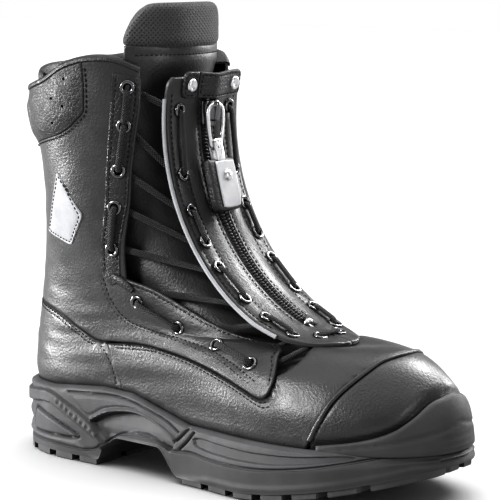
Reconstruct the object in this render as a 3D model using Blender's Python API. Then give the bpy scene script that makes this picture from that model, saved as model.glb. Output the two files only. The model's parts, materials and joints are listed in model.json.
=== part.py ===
"""A firefighter's lace-and-zip safety boot, for the right foot, as an assembly of its separate pieces.

Metres. +X points to the toe, -Y to the outer side of the foot, +Z up; the tread stands on z = 0.
The leather pieces are patterns cut on one last (the shape of the foot and shin), in coordinates
(v, angle): v counts the last's key slices from the sole edge to above the collar, and angle runs
round a slice in degrees, 0 at the heel, 180 at the toe or shin, negative on the outer side.
"""
import math

import bpy
import bmesh
import numpy as np
from mathutils import Vector
from mathutils.geometry import delaunay_2d_cdt

MM = 0.001
GAP = 0.3 * MM                      # clearance between touching pieces

# The last, mm: front point (x, z), back point (x, z), and half-width factors at five stations from
# back to front, outer side then inner side. A slice is an oval about the chord from back to front.
LAST = [
    ((143, 30), (-143, 34), (62, 42, 43, 60, 74), (60, 40, 38, 54, 72)),
    ((141, 50), (-146, 50), (62, 42, 43, 58, 74), (60, 40, 38, 53, 72)),
    ((131, 66), (-146, 61), (59, 42, 42, 52, 64), (58, 40, 38, 49, 62)),
    ((117, 77), (-145, 71), (57, 41, 40, 43, 54), (57, 40, 38, 42, 53)),
    ((98, 81.5), (-143, 80), (56, 41, 38, 35, 34), (56, 40, 37, 36, 34)),
    ((70, 80), (-141, 92), (54, 41, 37, 35, 30), (54, 40, 37, 36, 30)),
    ((45, 85.5), (-139, 104), (52, 41, 38, 38, 37), (52, 41, 38, 38, 37)),
    ((22, 100), (-137, 117), (50, 42, 40, 39, 37), (50, 42, 41, 39, 38)),
    ((0, 120), (-135, 131), (48, 44, 43, 41, 38), (48, 44, 44, 42, 40)),
    ((-16, 143), (-133, 146), (48, 47, 47, 44, 42), (48, 47, 47, 46, 46)),
    ((-25, 166), (-131, 163), (50, 50, 50, 48, 46), (50, 50, 50, 52, 54)),
    ((-28, 190), (-132, 185), (54, 53, 52, 52, 50), (54, 53, 53, 57, 62)),
    ((-29, 212), (-136, 208), (57, 56, 55, 55, 54), (56, 55, 56, 61, 68)),
    ((-30, 240), (-141, 240), (60, 58, 57, 57, 56), (57, 55.5, 56, 61, 71)),
    ((-31, 272), (-150, 272), (62, 60, 59, 59, 58), (59, 58, 59, 64, 74)),
]
TOE_SWING = 9 * MM                  # the toe leans this far to the inner side
TOE_SWING_START = 30 * MM

# Layers, as offsets out from the last
UNDER = (-2.6 * MM, -0.9 * MM)      # vamp, toe leather and heel cover
QUARTER = (0.1 * MM, 1.9 * MM)      # quarters, which lap over the layer under them
OVERLAY = (2.8 * MM, 4.2 * MM)      # eyestays, collar and patch
STIFFENER = (-4.9 * MM, -3.3 * MM)  # toe cap and heel stiffener
LINING = (-7.7 * MM, -6.4 * MM)
FOAM = (-5.2 * MM, -0.9 * MM)       # collar padding, between quarter and lining
TONGUE = (-12.0 * MM, -9.2 * MM)
TONGUE_PAD = (-13.5 * MM, -4.0 * MM)
PATTERN_STEP = 14 * MM              # spacing of the points that all pattern pieces share

# The zip runs down one arc in the plane y = 0, about a centre in front of the shin
ZIP_X, ZIP_Z, ZIP_R = 98 * MM, 204 * MM, 122 * MM
INSERT_TOP, INSERT_BOTTOM = 12, -76       # degrees along the arc
INSERT_HALF = 32 * MM
INSERT_CROWN = 150 * MM             # radius that the zip insert is bowed to, across
TEETH_TOP, TEETH_BOTTOM = 5, -65
EYELET_HOLE = 3.5 * MM
LACE_R = 1.25 * MM

# The sole
SOLE_SPRING = 21 * MM               # how far the toe of the tread is lifted
SPRING_START, SPRING_REACH = 35 * MM, 115 * MM
ARCH_FRONT, ARCH_BACK = -6 * MM, -72 * MM
ARCH_HEIGHT = 15 * MM
HEEL_OUTSOLE, FORE_OUTSOLE = 13 * MM, 9 * MM
GROOVE_DEPTH = 4 * MM

BLACK_LEATHER = ("black_leather", (0.030, 0.030, 0.032), 0.42, 0.0)
SOFT_LEATHER = ("soft_leather", (0.022, 0.022, 0.024), 0.55, 0.0)
LINING_FABRIC = ("lining_fabric", (0.060, 0.060, 0.063), 0.90, 0.0)
PAD_FABRIC = ("pad_fabric", (0.035, 0.035, 0.038), 0.85, 0.0)
FOAM_GREY = ("foam", (0.20, 0.20, 0.20), 0.90, 0.0)
RUBBER = ("rubber", (0.045, 0.045, 0.047), 0.60, 0.0)
MIDSOLE_PU = ("midsole_pu", (0.060, 0.060, 0.062), 0.62, 0.0)
COMPOSITE = ("composite", (0.16, 0.16, 0.14), 0.60, 0.0)
REFLECTIVE = ("reflective", (0.70, 0.71, 0.72), 0.35, 0.0)
STEEL = ("steel", (0.72, 0.72, 0.72), 0.22, 1.0)
BLACK_METAL = ("black_metal", (0.05, 0.05, 0.05), 0.30, 1.0)
ZIP_PLASTIC = ("zip_plastic", (0.020, 0.020, 0.020), 0.40, 0.0)
LACE_CORD = ("lace_cord", (0.018, 0.018, 0.019), 0.85, 0.0)


def clear_scene():
    for obj in list(bpy.data.objects):
        bpy.data.objects.remove(obj, do_unlink=True)


def material(look):
    name, colour, roughness, metallic = look
    found = bpy.data.materials.get(name)
    if found:
        return found
    made = bpy.data.materials.new(name)
    made.use_nodes = True
    shader = made.node_tree.nodes["Principled BSDF"]
    shader.inputs["Base Color"].default_value = (*colour, 1.0)
    shader.inputs["Roughness"].default_value = roughness
    shader.inputs["Metallic"].default_value = metallic
    return made


def add_object(name, mesh, look):
    mesh.materials.append(material(look))
    obj = bpy.data.objects.new(name, mesh)
    bpy.context.scene.collection.objects.link(obj)
    return obj


def add_mesh(name, verts, faces, look, smooth=True):
    """A closed solid from its points and faces, with the faces turned outwards."""
    mesh = bpy.data.meshes.new(name)
    mesh.from_pydata([tuple(p) for p in verts], [], faces)
    work = bmesh.new()
    work.from_mesh(mesh)
    bmesh.ops.recalc_face_normals(work, faces=work.faces)
    if work.calc_volume(signed=True) < 0:
        bmesh.ops.reverse_faces(work, faces=work.faces)
    work.to_mesh(mesh)
    work.free()
    if smooth:
        mesh.shade_smooth()
        mesh.set_sharp_from_angle(angle=math.radians(35))
    return add_object(name, mesh, look)


def cut(obj, cutters):
    """Boolean-cut obj with each cutter, which is then only a guide."""
    for tool in cutters:
        tool.hide_render = True
        tool.display_type = "WIRE"
        step = obj.modifiers.new("cut", "BOOLEAN")
        step.operation = "DIFFERENCE"
        step.object = tool


def unite(obj, others):
    for tool in others:
        tool.hide_render = True
        tool.display_type = "WIRE"
        step = obj.modifiers.new("join", "BOOLEAN")
        step.operation = "UNION"
        step.object = tool


# ---------------------------------------------------------------- the last

def through(rows, t):
    """Catmull-Rom curve through rows, read at t = 0 ... len(rows) - 1."""
    i = int(min(max(math.floor(t), 0), len(rows) - 2))
    f = t - i
    p1, p2 = rows[i], rows[i + 1]
    p0 = rows[i - 1] if i > 0 else 2 * p1 - p2
    p3 = rows[i + 2] if i + 2 < len(rows) else 2 * p2 - p1
    return 0.5 * (2 * p1 + (p2 - p0) * f + (2 * p0 - 5 * p1 + 4 * p2 - p3) * f * f
                  + (3 * p1 - p0 - 3 * p2 + p3) * f ** 3)


SLICES = np.array([front + back + outer + inner for front, back, outer, inner in LAST], float) * MM


def last_point(v, angle):
    theta = math.radians((angle + 180) % 360 - 180)
    row = through(SLICES, v)
    widths = row[4:9] if theta < 0 else row[9:14]
    s = (1 - math.cos(theta)) / 2
    half = through(widths.reshape(-1, 1), 4 * s)[0]
    x, z = row[2:4] + (row[0:2] - row[2:4]) * s
    swing = TOE_SWING * max(0.0, (x - TOE_SWING_START) / (110 * MM)) ** 1.5
    return np.array([x, math.sin(theta) * half + swing, z])


def last_normal(v, angle):
    round_it = last_point(v, angle + 1.5) - last_point(v, angle - 1.5)
    up_it = last_point(v + 0.06, angle) - last_point(v - 0.06, angle)
    normal = np.cross(up_it, round_it)
    return normal / np.linalg.norm(normal)


def on_last(v, angle, out=0.0):
    return last_point(v, angle) + last_normal(v, angle) * out


def nearest_on_last(target, v, angle):
    """The (v, angle) of the last's point under target, from a place near it."""
    for _ in range(4):
        by_v = (last_point(v + 0.05, angle) - last_point(v - 0.05, angle)) / 0.1
        by_angle = last_point(v, angle + 0.5) - last_point(v, angle - 0.5)
        step = np.linalg.lstsq(np.array([by_v, by_angle]).T, target - last_point(v, angle), rcond=None)[0]
        v, angle = v + step[0], angle + step[1]
    return np.array([v, angle])


# ---------------------------------------------------------------- the zip's arc

def on_arc(phi, across, depth):
    """A place by the zip: degrees along the arc, metres to the inner side, metres in from the zip."""
    r = ZIP_R + depth + across * across / (2 * INSERT_CROWN)
    a = math.radians(phi)
    return np.array([ZIP_X - r * math.cos(a), across, ZIP_Z + r * math.sin(a)])


# ---------------------------------------------------------------- patterns

def smooth(points, per=3):
    """A smooth open line through pattern points."""
    rows = np.array(points, float)
    return [through(rows, i / per) for i in range(per * (len(rows) - 1) + 1)]


def inside(p, loop):
    hit = False
    for a, b in zip(loop, loop[1:] + loop[:1]):
        if (a[1] > p[1]) != (b[1] > p[1]):
            if p[0] < (b[0] - a[0]) * (p[1] - a[1]) / (b[1] - a[1]) + a[0]:
                hit = not hit
    return hit


def clear_of(p, loop, room):
    for a, b in zip(loop, loop[1:] + loop[:1]):
        line = b - a
        t = min(max(np.dot(p - a, line) / max(np.dot(line, line), 1e-12), 0.0), 1.0)
        if np.linalg.norm(p - a - line * t) < room:
            return False
    return True


def spaced(loop, to_plane, step):
    """The loop on the flat plane, with its long edges divided."""
    line = []
    for a, b in zip(loop, loop[1:] + loop[:1]):
        length = np.linalg.norm(np.array(to_plane(b)) - np.array(to_plane(a)))
        pieces = max(1, math.ceil(length / step - 0.25))
        line += [np.array(to_plane(a + (b - a) * i / pieces)) for i in range(pieces)]
    return line


def patch(name, look, outline, holes, to_plane, from_plane, lift, step):
    """A sheet cut to an outline with holes, laid on a surface between its inner and outer faces."""
    loops = [spaced([np.array(q) for q in loop], to_plane, step) for loop in [outline] + holes]
    verts, edges = [], []
    for loop in loops:
        base = len(verts)
        verts += loop
        edges += [(base + i, base + (i + 1) % len(loop)) for i in range(len(loop))]
    low = np.min(loops[0], axis=0)
    high = np.max(loops[0], axis=0)
    row_height = step * 0.87
    for row in range(math.floor(low[1] / row_height), math.ceil(high[1] / row_height) + 1):
        for column in range(math.floor(low[0] / step) - 1, math.ceil(high[0] / step) + 1):
            p = np.array([(column + (row % 2) / 2) * step, row * row_height])
            if inside(p, loops[0]) and all(clear_of(p, loop, 0.45 * step) for loop in loops):
                if not any(inside(p, loop) for loop in loops[1:]):
                    verts.append(p)
    net = delaunay_2d_cdt([Vector(p) for p in verts], edges, [], 0, 1e-7)
    flat = [np.array(p) for p in net[0]]
    kept = []
    for face in net[2]:
        middle = sum(flat[i] for i in face) / len(face)
        if inside(middle, loops[0]) and not any(inside(middle, loop) for loop in loops[1:]):
            kept.append(tuple(face))
    used = sorted({i for face in kept for i in face})
    order = {old: new for new, old in enumerate(used)}
    kept = [tuple(order[i] for i in face) for face in kept]
    places = [from_plane(flat[i]) for i in used]
    n = len(places)
    solid = [lift(q, 1) for q in places] + [lift(q, 0) for q in places]
    faces = list(kept) + [tuple(i + n for i in reversed(face)) for face in kept]
    sides = {}
    for face in kept:
        for a, b in zip(face, face[1:] + face[:1]):
            sides[(a, b)] = True
    for a, b in sides:
        if (b, a) not in sides:
            faces.append((b, a, a + n, b + n))
    return add_mesh(name, solid, faces, look)


PLANE_V = 17 * MM                   # about the real size of a step of v
FOOT_DEGREE, SHAFT_DEGREE = 1.55 * MM, 0.95 * MM     # and of a degree, low on the foot and on the shaft


def degree_size(v):
    return FOOT_DEGREE + (SHAFT_DEGREE - FOOT_DEGREE) * min(max((v - 2.0) / 5.0, 0.0), 1.0)


def leather(name, look, layer, outline, holes=(), swell=None):
    """A pattern piece on the last, in its layer."""
    middle = 180 if np.mean([q[1] for q in outline]) > 130 else 0

    def to_plane(q):
        return (q[1] - middle) * degree_size(q[0]), q[0] * PLANE_V

    def from_plane(p):
        v = p[1] / PLANE_V
        return v, p[0] / degree_size(v) + middle

    def lift(q, outer):
        out = layer[outer]
        if swell and outer:
            out += swell(q)
        return on_last(q[0], q[1], out)

    return patch(name, look, list(outline), [list(h) for h in holes],
                 to_plane, from_plane, lift, PATTERN_STEP)


def on_insert(name, look, depths, outline, holes=()):
    """A pattern piece of the zip insert: its outline is in (degrees along the arc, metres across)."""
    arc = math.radians(ZIP_R)
    return patch(name, look, list(outline), [list(h) for h in holes],
                 lambda q: (q[1], q[0] * arc), lambda p: (p[1] / arc, p[0]),
                 lambda q, outer: on_arc(q[0], q[1], depths[1 - outer]), PATTERN_STEP)


def hole_on_last(v, angle, radius=EYELET_HOLE, sides=8):
    """The outline, in the pattern, of a round hole square to the leather."""
    centre, normal, up, across = frame_at(last_point(v, angle), last_normal(v, angle), (0, 0, 1))
    turns = [2 * math.pi * i / sides for i in range(sides)]
    return [nearest_on_last(np.array(centre + (up * math.sin(t) + across * math.cos(t)) * radius), v, angle)
            for t in turns]


def hole_on_insert(phi, across, radius=EYELET_HOLE, sides=8):
    arc = math.radians(ZIP_R)
    turns = [2 * math.pi * i / sides for i in range(sides)]
    return [np.array([phi + radius * math.sin(t) / arc, across + radius * math.cos(t)]) for t in turns]


def mirrored(points):
    """The same pattern on the inner side of the foot."""
    return [np.array([q[0], -q[1]]) for q in points]


def through_front(points):
    """Angles past the front, so that a piece can cross the toe or shin: -150 becomes 210."""
    return [np.array([q[0], q[1] % 360]) for q in points]


def frame_at(origin, normal, up):
    """Axes of a small fitting: normal out, up along the row, and across."""
    n = Vector(normal).normalized()
    u = (Vector(up) - n * Vector(up).dot(n)).normalized()
    return Vector(origin), n, u, u.cross(n)


def turned(name, look, profile, origin, normal, up=(0, 0, 1), sides=10):
    """A ring or a cap from a (radius, height) profile, turned about normal. A closed profile makes a ring."""
    o, n, u, w = frame_at(origin, normal, up)
    ring = profile[0][0] > 0
    verts, faces = [], []
    body = profile if ring else profile[1:-1]
    for i in range(sides):
        t = 2 * math.pi * i / sides
        verts += [o + n * h + (u * math.cos(t) + w * math.sin(t)) * r for r, h in body]
    k = len(body)
    for i in range(sides):
        a, b = i * k, ((i + 1) % sides) * k
        for j in range(k if ring else k - 1):
            faces.append((a + j, b + j, b + (j + 1) % k, a + (j + 1) % k))
    if not ring:
        top, bottom = len(verts), len(verts) + 1
        verts += [o + n * profile[0][1], o + n * profile[-1][1]]
        for i in range(sides):
            a, b = i * k, ((i + 1) % sides) * k
            faces.append((top, b, a))
            faces.append((bottom, a + k - 1, b + k - 1))
    return add_mesh(name, verts, faces, look)


# ---------------------------------------------------------------- outlines

# (v, angle) on the outer side; the inner side is their mirror image
COLLAR = [(12.35, 0), (12.42, -40), (12.6, -73), (12.86, -91), (13.0, -106), (13.0, -124), (12.8, -139)]
THROAT = [(12.8, -139), (12.2, -138.5), (11.4, -134), (10.5, -128), (9.6, -121.5), (8.4, -108), (7.35, -98)]
WING_TOP = [(7.35, -98), (7.1, -112), (6.3, -125), (5.5, -132), (4.6, -130.4), (3.9, -126.4), (3.0, -121.2),
            (2.15, -118.4), (1.7, -116.2)]
WING_LOW = [(1.7, -116.2), (1.45, -113), (1.94, -104.5), (2.54, -96), (3.0, -87.6), (3.3, -78), (3.15, -64)]
COUNTER_TOP = [(3.15, -64), (3.3, -60.5), (4.0, -54.7), (4.75, -45), (5.05, -25), (5.15, 0)]
EYELETS = [(12.45, -131), (11.6, -126.8), (10.47, -119.5), (9.52, -111.8), (8.3, -100.5),
           (6.5, -96), (5.5, -105), (3.75, -105), (2.75, -112.5)]
INSERT_EYELETS = [(3, 23), (-14, 24), (-24, 25), (-33, 25), (-41, 25), (-52, 24), (-60, 23), (-68.5, 21)]
INSERT_END = (-73.5, 9)
WING_LACE = {7: [(4.75, -130)], 6: [(6.05, -128)], 5: [(7.05, -112)]}    # where the lace leaves a wing's edge

VAMP_BACK = [(3.0, -65.8), (3.3, -78), (3.15, -88), (2.75, -97), (2.2, -105), (1.95, -113), (2.4, -121),
             (3.1, -129), (4.1, -139), (5.3, -160), (5.45, -180)]
TOE_SEAM = [(0.0, -124.5), (0.9, -129), (1.65, -135), (2.4, -145), (3.06, -158), (3.32, -170), (3.38, -180)]

SIDES = (("outer", -1), ("inner", 1))


def side_of(points, sign):
    return list(points) if sign < 0 else mirrored(points)


def build_quarters():
    line = (smooth(COLLAR) + smooth(THROAT)[1:] + smooth(WING_TOP)[1:] + smooth(WING_LOW)[1:]
            + smooth(COUNTER_TOP)[1:])
    for side, sign in SIDES:
        outline = [np.array([v, min(a, -0.35)]) for v, a in line]
        leather("quarter_" + side, BLACK_LEATHER, QUARTER, side_of(outline, sign),
                [hole_on_last(v, -sign * a) for v, a in EYELETS])


def build_vamp():
    """The forefoot leather: it runs under both wings, is open for the tongue, and ends at the toe seam."""
    outer_back = through_front(smooth(VAMP_BACK, 2))
    outer_seam = through_front(smooth(TOE_SEAM, 2))
    inner_back = through_front(smooth(mirrored(VAMP_BACK), 2))
    inner_seam = through_front(smooth(mirrored(TOE_SEAM), 2))
    foot = [np.array([0.0, a]) for a in (77.0, 89.0, 101.0, 113.0)]
    outline = ([np.array([0.0, 294.2])] + outer_back + inner_back[::-1][1:] + [np.array([0.0, 65.8])]
               + foot + inner_seam + outer_seam[::-1][1:]
               + [np.array([0.0, 360.0 - q[1]]) for q in foot[::-1]])
    leather("vamp", BLACK_LEATHER, UNDER, outline)
    front = outer_seam + inner_seam[::-1][1:]
    inset = [np.array([max(q[0] - 0.045, 0.0), 180 + (q[1] - 180) * 0.985]) for q in front]
    bottom = [np.array([0.0, a]) for a in np.linspace(inset[-1][1], inset[0][1], 11)[1:-1]]
    leather("toe_leather", BLACK_LEATHER, UNDER, inset + bottom)


def band(top, low):
    """Outline of a piece between a top line and a lower line, both given on the outer side to the front
    or the back, and mirrored to the inner side."""
    upper = list(top) + mirrored(top)[::-1]
    lower = list(low) + mirrored(low)[::-1]
    return upper + lower[::-1]


def build_toe_guard():
    top = [(0.24, -128), (0.45, -141), (0.7, -150.6), (1.02, -158), (1.45, -168), (1.6, -178)]
    low = [(0.17, a) for a in (-129, -141, -151, -160, -170, -178)]
    outline = through_front(smooth(top, 2)) + through_front(mirrored(smooth(top, 2)))[::-1]
    under = through_front(mirrored(low)) + through_front(low)[::-1]
    leather("toe_guard", RUBBER, (0.4 * MM, 3.2 * MM), outline + under)


def build_back_pieces():
    lift = [(q[0] + 0.3, q[1]) for q in COUNTER_TOP[1:]]
    top = [(3.35, -65)] + lift[:-1] + [(lift[-1][0], -1)]
    low = [(0.0, a) for a in (-65.2, -50, -35, -20, -1)]
    leather("heel_cover", BLACK_LEATHER, UNDER, band(smooth(top, 2), low))
    stay = [(v, 6.5) for v in np.arange(5.4, 10.6, 0.8)]
    leather("back_stay", SOFT_LEATHER, (3.2 * MM, 4.4 * MM), stay + mirrored(stay)[::-1])
    collar = [(q[0] - 0.06, q[1]) for q in COLLAR[1:5]] + [(12.93, -119)]
    edge = [(q[0] - 0.36, q[1]) for q in collar]
    leather("collar_binding", SOFT_LEATHER, OVERLAY, band(smooth(collar[::-1], 2), smooth(edge[::-1], 2)))
    top = [(q[0] - 0.42, q[1]) for q in collar[:4]][::-1]
    top[0] = (12.4, -103)
    low = [(11.95, -103), (11.5, -80), (11.15, -58), (10.9, -35), (10.75, -12)]

    def swell(q):
        edge = min(1.0, abs(103 - abs((q[1] + 180) % 360 - 180)) / 25, abs(q[0] - 10.7) / 0.6)
        return 3.2 * MM * max(edge, 0.0)

    leather("collar_panel", SOFT_LEATHER, OVERLAY, band(smooth(top, 2), smooth(low, 2)), swell=swell)
    foam = [(9.4, -96), (10.6, -102), (12.1, -104), (12.35, -80), (12.2, -50), (12.1, -20)]
    low = [(9.2, -96), (9.1, -70), (9.1, -45), (9.1, -20)]
    leather("collar_foam", FOAM_GREY, FOAM, band(smooth(foam, 2), low))
    lining = [(0.1, -94), (3.0, -94), (5.5, -89), (7.0, -82), (8.3, -88), (9.5, -100), (10.5, -108),
              (11.6, -115), (12.6, -119), (12.85, -104), (12.7, -90), (12.45, -70), (12.25, -40), (12.2, -12)]
    low = [(0.1, a) for a in (-80, -64, -48, -32, -12)]
    leather("quarter_lining", LINING_FABRIC, LINING, band(lining, low))
    heel = [(0.2, -56), (2.5, -54), (4.2, -44), (4.7, -24), (4.8, -8)]
    low = [(0.2, a) for a in (-44, -30, -8)]
    leather("heel_stiffener", COMPOSITE, STIFFENER, band(heel, low))


def build_front_pieces():
    back = [(0.1, -96), (2.8, -97), (4.2, -112), (5.0, -132), (5.25, -155), (5.3, -174)]
    low = [(0.1, a) for a in (-110, -124, -138, -152, -166, -174)]
    upper = through_front(smooth(back, 2)) + through_front(mirrored(smooth(back, 2)))[::-1]
    leather("vamp_lining", LINING_FABRIC, LINING,
            upper + through_front(mirrored(low)) + through_front(low)[::-1])
    back = [(0.15, -124), (1.8, -132), (2.9, -146), (3.3, -160), (3.4, -174)]
    upper = through_front(smooth(back, 2)) + through_front(mirrored(smooth(back, 2)))[::-1]
    low = [(0.15, a) for a in (-134, -144, -154, -164, -174)]
    leather("safety_toe_cap", COMPOSITE, (-5.6 * MM, -4.0 * MM),
            upper + through_front(mirrored(low)) + through_front(low)[::-1])
    side = [(4.6, -150), (5.3, -124), (6.4, -108), (7.3, -91), (8.2, -95), (9.5, -109), (11.0, -120),
            (12.4, -128), (13.3, -131)]
    top = [(13.4, a) for a in (-140, -150, -160, -170)]
    low = [(4.5, -164), (4.5, -176)]
    ring = through_front(smooth(side, 2)) + through_front(top)
    ring += through_front(mirrored(top))[::-1] + through_front(mirrored(smooth(side, 2)))[::-1]
    leather("tongue", SOFT_LEATHER, TONGUE, ring + through_front(mirrored(low)) + through_front(low)[::-1])
    side = [(13.43, -175), (13.43, -160), (13.43, -145), (13.43, -132), (13.56, -130.5), (13.75, -132),
            (13.9, -137), (13.96, -145), (13.98, -160), (13.98, -175)]
    ring = through_front(side)
    leather("tongue_pad", PAD_FABRIC, TONGUE_PAD, ring + through_front(mirrored(side))[::-1])


def build_eyestays():
    seam = [(12.75, -123.5), (11.6, -118), (10.5, -112), (9.5, -105.5), (8.3, -94), (7.3, -85.5)]
    end = [(7.0, -87.5), (7.15, -92)]
    edge = [(7.5, -97), (8.5, -107), (9.6, -120), (10.5, -126.5), (11.4, -132.5), (12.2, -137), (12.65, -137.5)]
    for side, sign in SIDES:
        outline = smooth(seam, 2) + end + smooth(edge, 2)
        leather("eyestay_" + side, SOFT_LEATHER, OVERLAY, side_of([np.array(q) for q in outline], sign),
                [hole_on_last(v, -sign * a) for v, a in EYELETS[:5]])
    mark = [(10.45, -70), (10.5, -73.5), (10.3, -77), (9.6, -85), (9.25, -87.5), (8.9, -85.5), (8.4, -75.5),
            (8.25, -71), (8.35, -67), (8.8, -57.5), (9.1, -55), (9.4, -56.5)]
    leather("reflective_patch", REFLECTIVE, OVERLAY, [np.array(q) for q in mark])


def build_eyelets():
    for side, sign in SIDES:
        for count, (v, angle) in enumerate(EYELETS, 1):
            seat = (OVERLAY if count <= 5 else QUARTER)[1] + 1.2 * MM
            profile = [(2.05, -0.6), (2.75, -0.6), (2.75, seat / MM), (4.3, seat / MM),
                       (3.6, seat / MM + 1.0), (2.05, seat / MM + 0.6)]
            turned("eyelet_%s_%d" % (side, count), BLACK_METAL, [(r * MM, h * MM) for r, h in profile],
                   last_point(v, -sign * angle), last_normal(v, -sign * angle), sides=8)


# ---------------------------------------------------------------- the zip insert

def build_insert():
    edge = [(INSERT_TOP, -INSERT_HALF), (0, -INSERT_HALF), (-16, -31.5 * MM), (-33, -31 * MM),
            (-50, -29.5 * MM), (-62, -27.5 * MM), (-70, -22 * MM), (-74.5, -14 * MM), (INSERT_BOTTOM, -5 * MM)]
    middle = [(INSERT_BOTTOM, -0.3 * MM), (TEETH_BOTTOM - 3, -0.3 * MM), (TEETH_BOTTOM - 3, -5.8 * MM),
              (-48, -5.8 * MM), (-32, -5.8 * MM), (-16, -5.8 * MM), (0, -5.8 * MM), (INSERT_TOP, -5.8 * MM)]
    for side, sign in SIDES:
        holes = [hole_on_insert(phi, -w * MM) for phi, w in INSERT_EYELETS + [INSERT_END]]
        on_insert("insert_" + side, BLACK_LEATHER, (0.0, 2.4 * MM),
                  side_of([np.array(q) for q in smooth(edge, 2) + middle], sign),
                  [side_of(h, sign) for h in holes])
    tape = [(INSERT_TOP - 0.5, 9 * MM), (-8, 9 * MM), (-22, 9 * MM), (-36, 9 * MM), (-50, 9 * MM),
            (-62, 9 * MM), (-66, 4.5 * MM), (-75, 4 * MM)]
    on_insert("zip_tape", LINING_FABRIC, (3.1 * MM, 3.8 * MM), [np.array(q) for q in tape]
              + mirrored(tape)[::-1])
    for side, sign in SIDES:
        near, far = sign * 0.15 * MM, sign * 3.4 * MM
        arc_bar("zip_teeth_" + side, ZIP_PLASTIC, np.linspace(TEETH_TOP, TEETH_BOTTOM, 20),
                [(near, -1.1 * MM), (near, 2.4 * MM), (far, 2.4 * MM), (far, -0.7 * MM)])
        line = [on_arc(phi, sign * (piping_edge(phi) + 1.7 * MM), 1.2 * MM)
                for phi in np.arange(6, -72, -5.5)]
        tube("piping_" + side, REFLECTIVE, line, 0.95 * MM)


def piping_edge(phi):
    """Half the insert's width, along its sides."""
    rows = [(12, 32.0), (0, 32.0), (-16, 31.5), (-33, 31.0), (-50, 29.5), (-62, 27.5), (-70, 22.6), (-74.5, 15.0)]
    return float(np.interp(-phi, [-r[0] for r in rows], [r[1] for r in rows])) * MM


def arc_bar(name, look, phis, section):
    """A bar along the zip's arc with a section of (across, depth) points."""
    verts, faces = [], []
    k = len(section)
    for phi in phis:
        verts += [on_arc(phi, w, d) for w, d in section]
    for i in range(len(phis) - 1):
        for j in range(k):
            a, b = i * k + j, i * k + (j + 1) % k
            faces.append((a, b, b + k, a + k))
    last = (len(phis) - 1) * k
    faces.append(tuple(reversed(range(k))))
    faces.append(tuple(last + j for j in range(k)))
    return add_mesh(name, verts, faces, look)


def tube(name, look, points, radius, cyclic=False, resolution=2):
    curve = bpy.data.curves.new(name, "CURVE")
    curve.dimensions = "3D"
    curve.bevel_depth = radius
    curve.bevel_resolution = resolution
    curve.render_resolution_u = 0
    curve.use_fill_caps = not cyclic
    line = curve.splines.new("POLY")
    line.points.add(len(points) - 1)
    for p, q in zip(line.points, points):
        p.co = (*q, 1.0)
    line.use_cyclic_u = cyclic
    return add_object(name, curve, look)


SLIDER_TOP, SLIDER_BOTTOM = 5.9, -1.9     # degrees
PIVOT_PHI, PIVOT_DEPTH = 4.5, -6.4 * MM
PULLER_LENGTH, PULLER_HALF, PULLER_WIRE = 25 * MM, 6.9 * MM, 1.1 * MM
TAB_DEPTH = -6.0 * MM


def build_slider():
    wall, rim = 3.8 * MM, 5.4 * MM
    phis = np.linspace(SLIDER_TOP, SLIDER_BOTTOM, 5)
    channel = [(-rim, -4.6 * MM), (rim, -4.6 * MM), (rim, 2.3 * MM), (wall, 2.3 * MM), (wall, -1.6 * MM),
               (-wall, -1.6 * MM), (-wall, 2.3 * MM), (-rim, 2.3 * MM)]
    slider = arc_bar("zip_slider", BLACK_METAL, phis, channel)
    outer = [(1.4, -4.2), (1.4, -8.0), (0.8, -9.3), (-4.0, -9.3), (-5.0, -8.0), (-5.0, -4.2)]
    inner = [(-4.1, -4.2), (-4.1, -7.6), (-3.6, -8.0), (0.5, -8.0), (0.8, -7.6), (0.8, -4.2)]
    loop = outer + inner
    half = 1.7 * MM
    verts = [on_arc(PIVOT_PHI + phi, w, d * MM) for w in (-half, half) for phi, d in loop]
    n = len(loop)
    faces = [(i, (i + 1) % n, (i + 1) % n + n, i + n) for i in range(n)]
    quads = [(0, 1, 10, 11), (1, 2, 9, 10), (2, 3, 8, 9), (3, 4, 7, 8), (4, 5, 6, 7)]
    faces += quads + [tuple(i + n for i in reversed(q)) for q in quads]
    bridge = add_mesh("slider_bridge_guide", verts, faces, BLACK_METAL)
    unite(slider, [bridge])


def pull_axes():
    """The pivot on the slider, the puller's lower bar, and the tab's far end, all along the arc."""
    first = on_arc(PIVOT_PHI, 0, PIVOT_DEPTH)
    swing = math.degrees(PULLER_LENGTH / ZIP_R)
    second = on_arc(PIVOT_PHI - swing, 0, TAB_DEPTH)
    third = on_arc(PIVOT_PHI - swing - 19, 0, -4.4 * MM)
    return first, second, third


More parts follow.
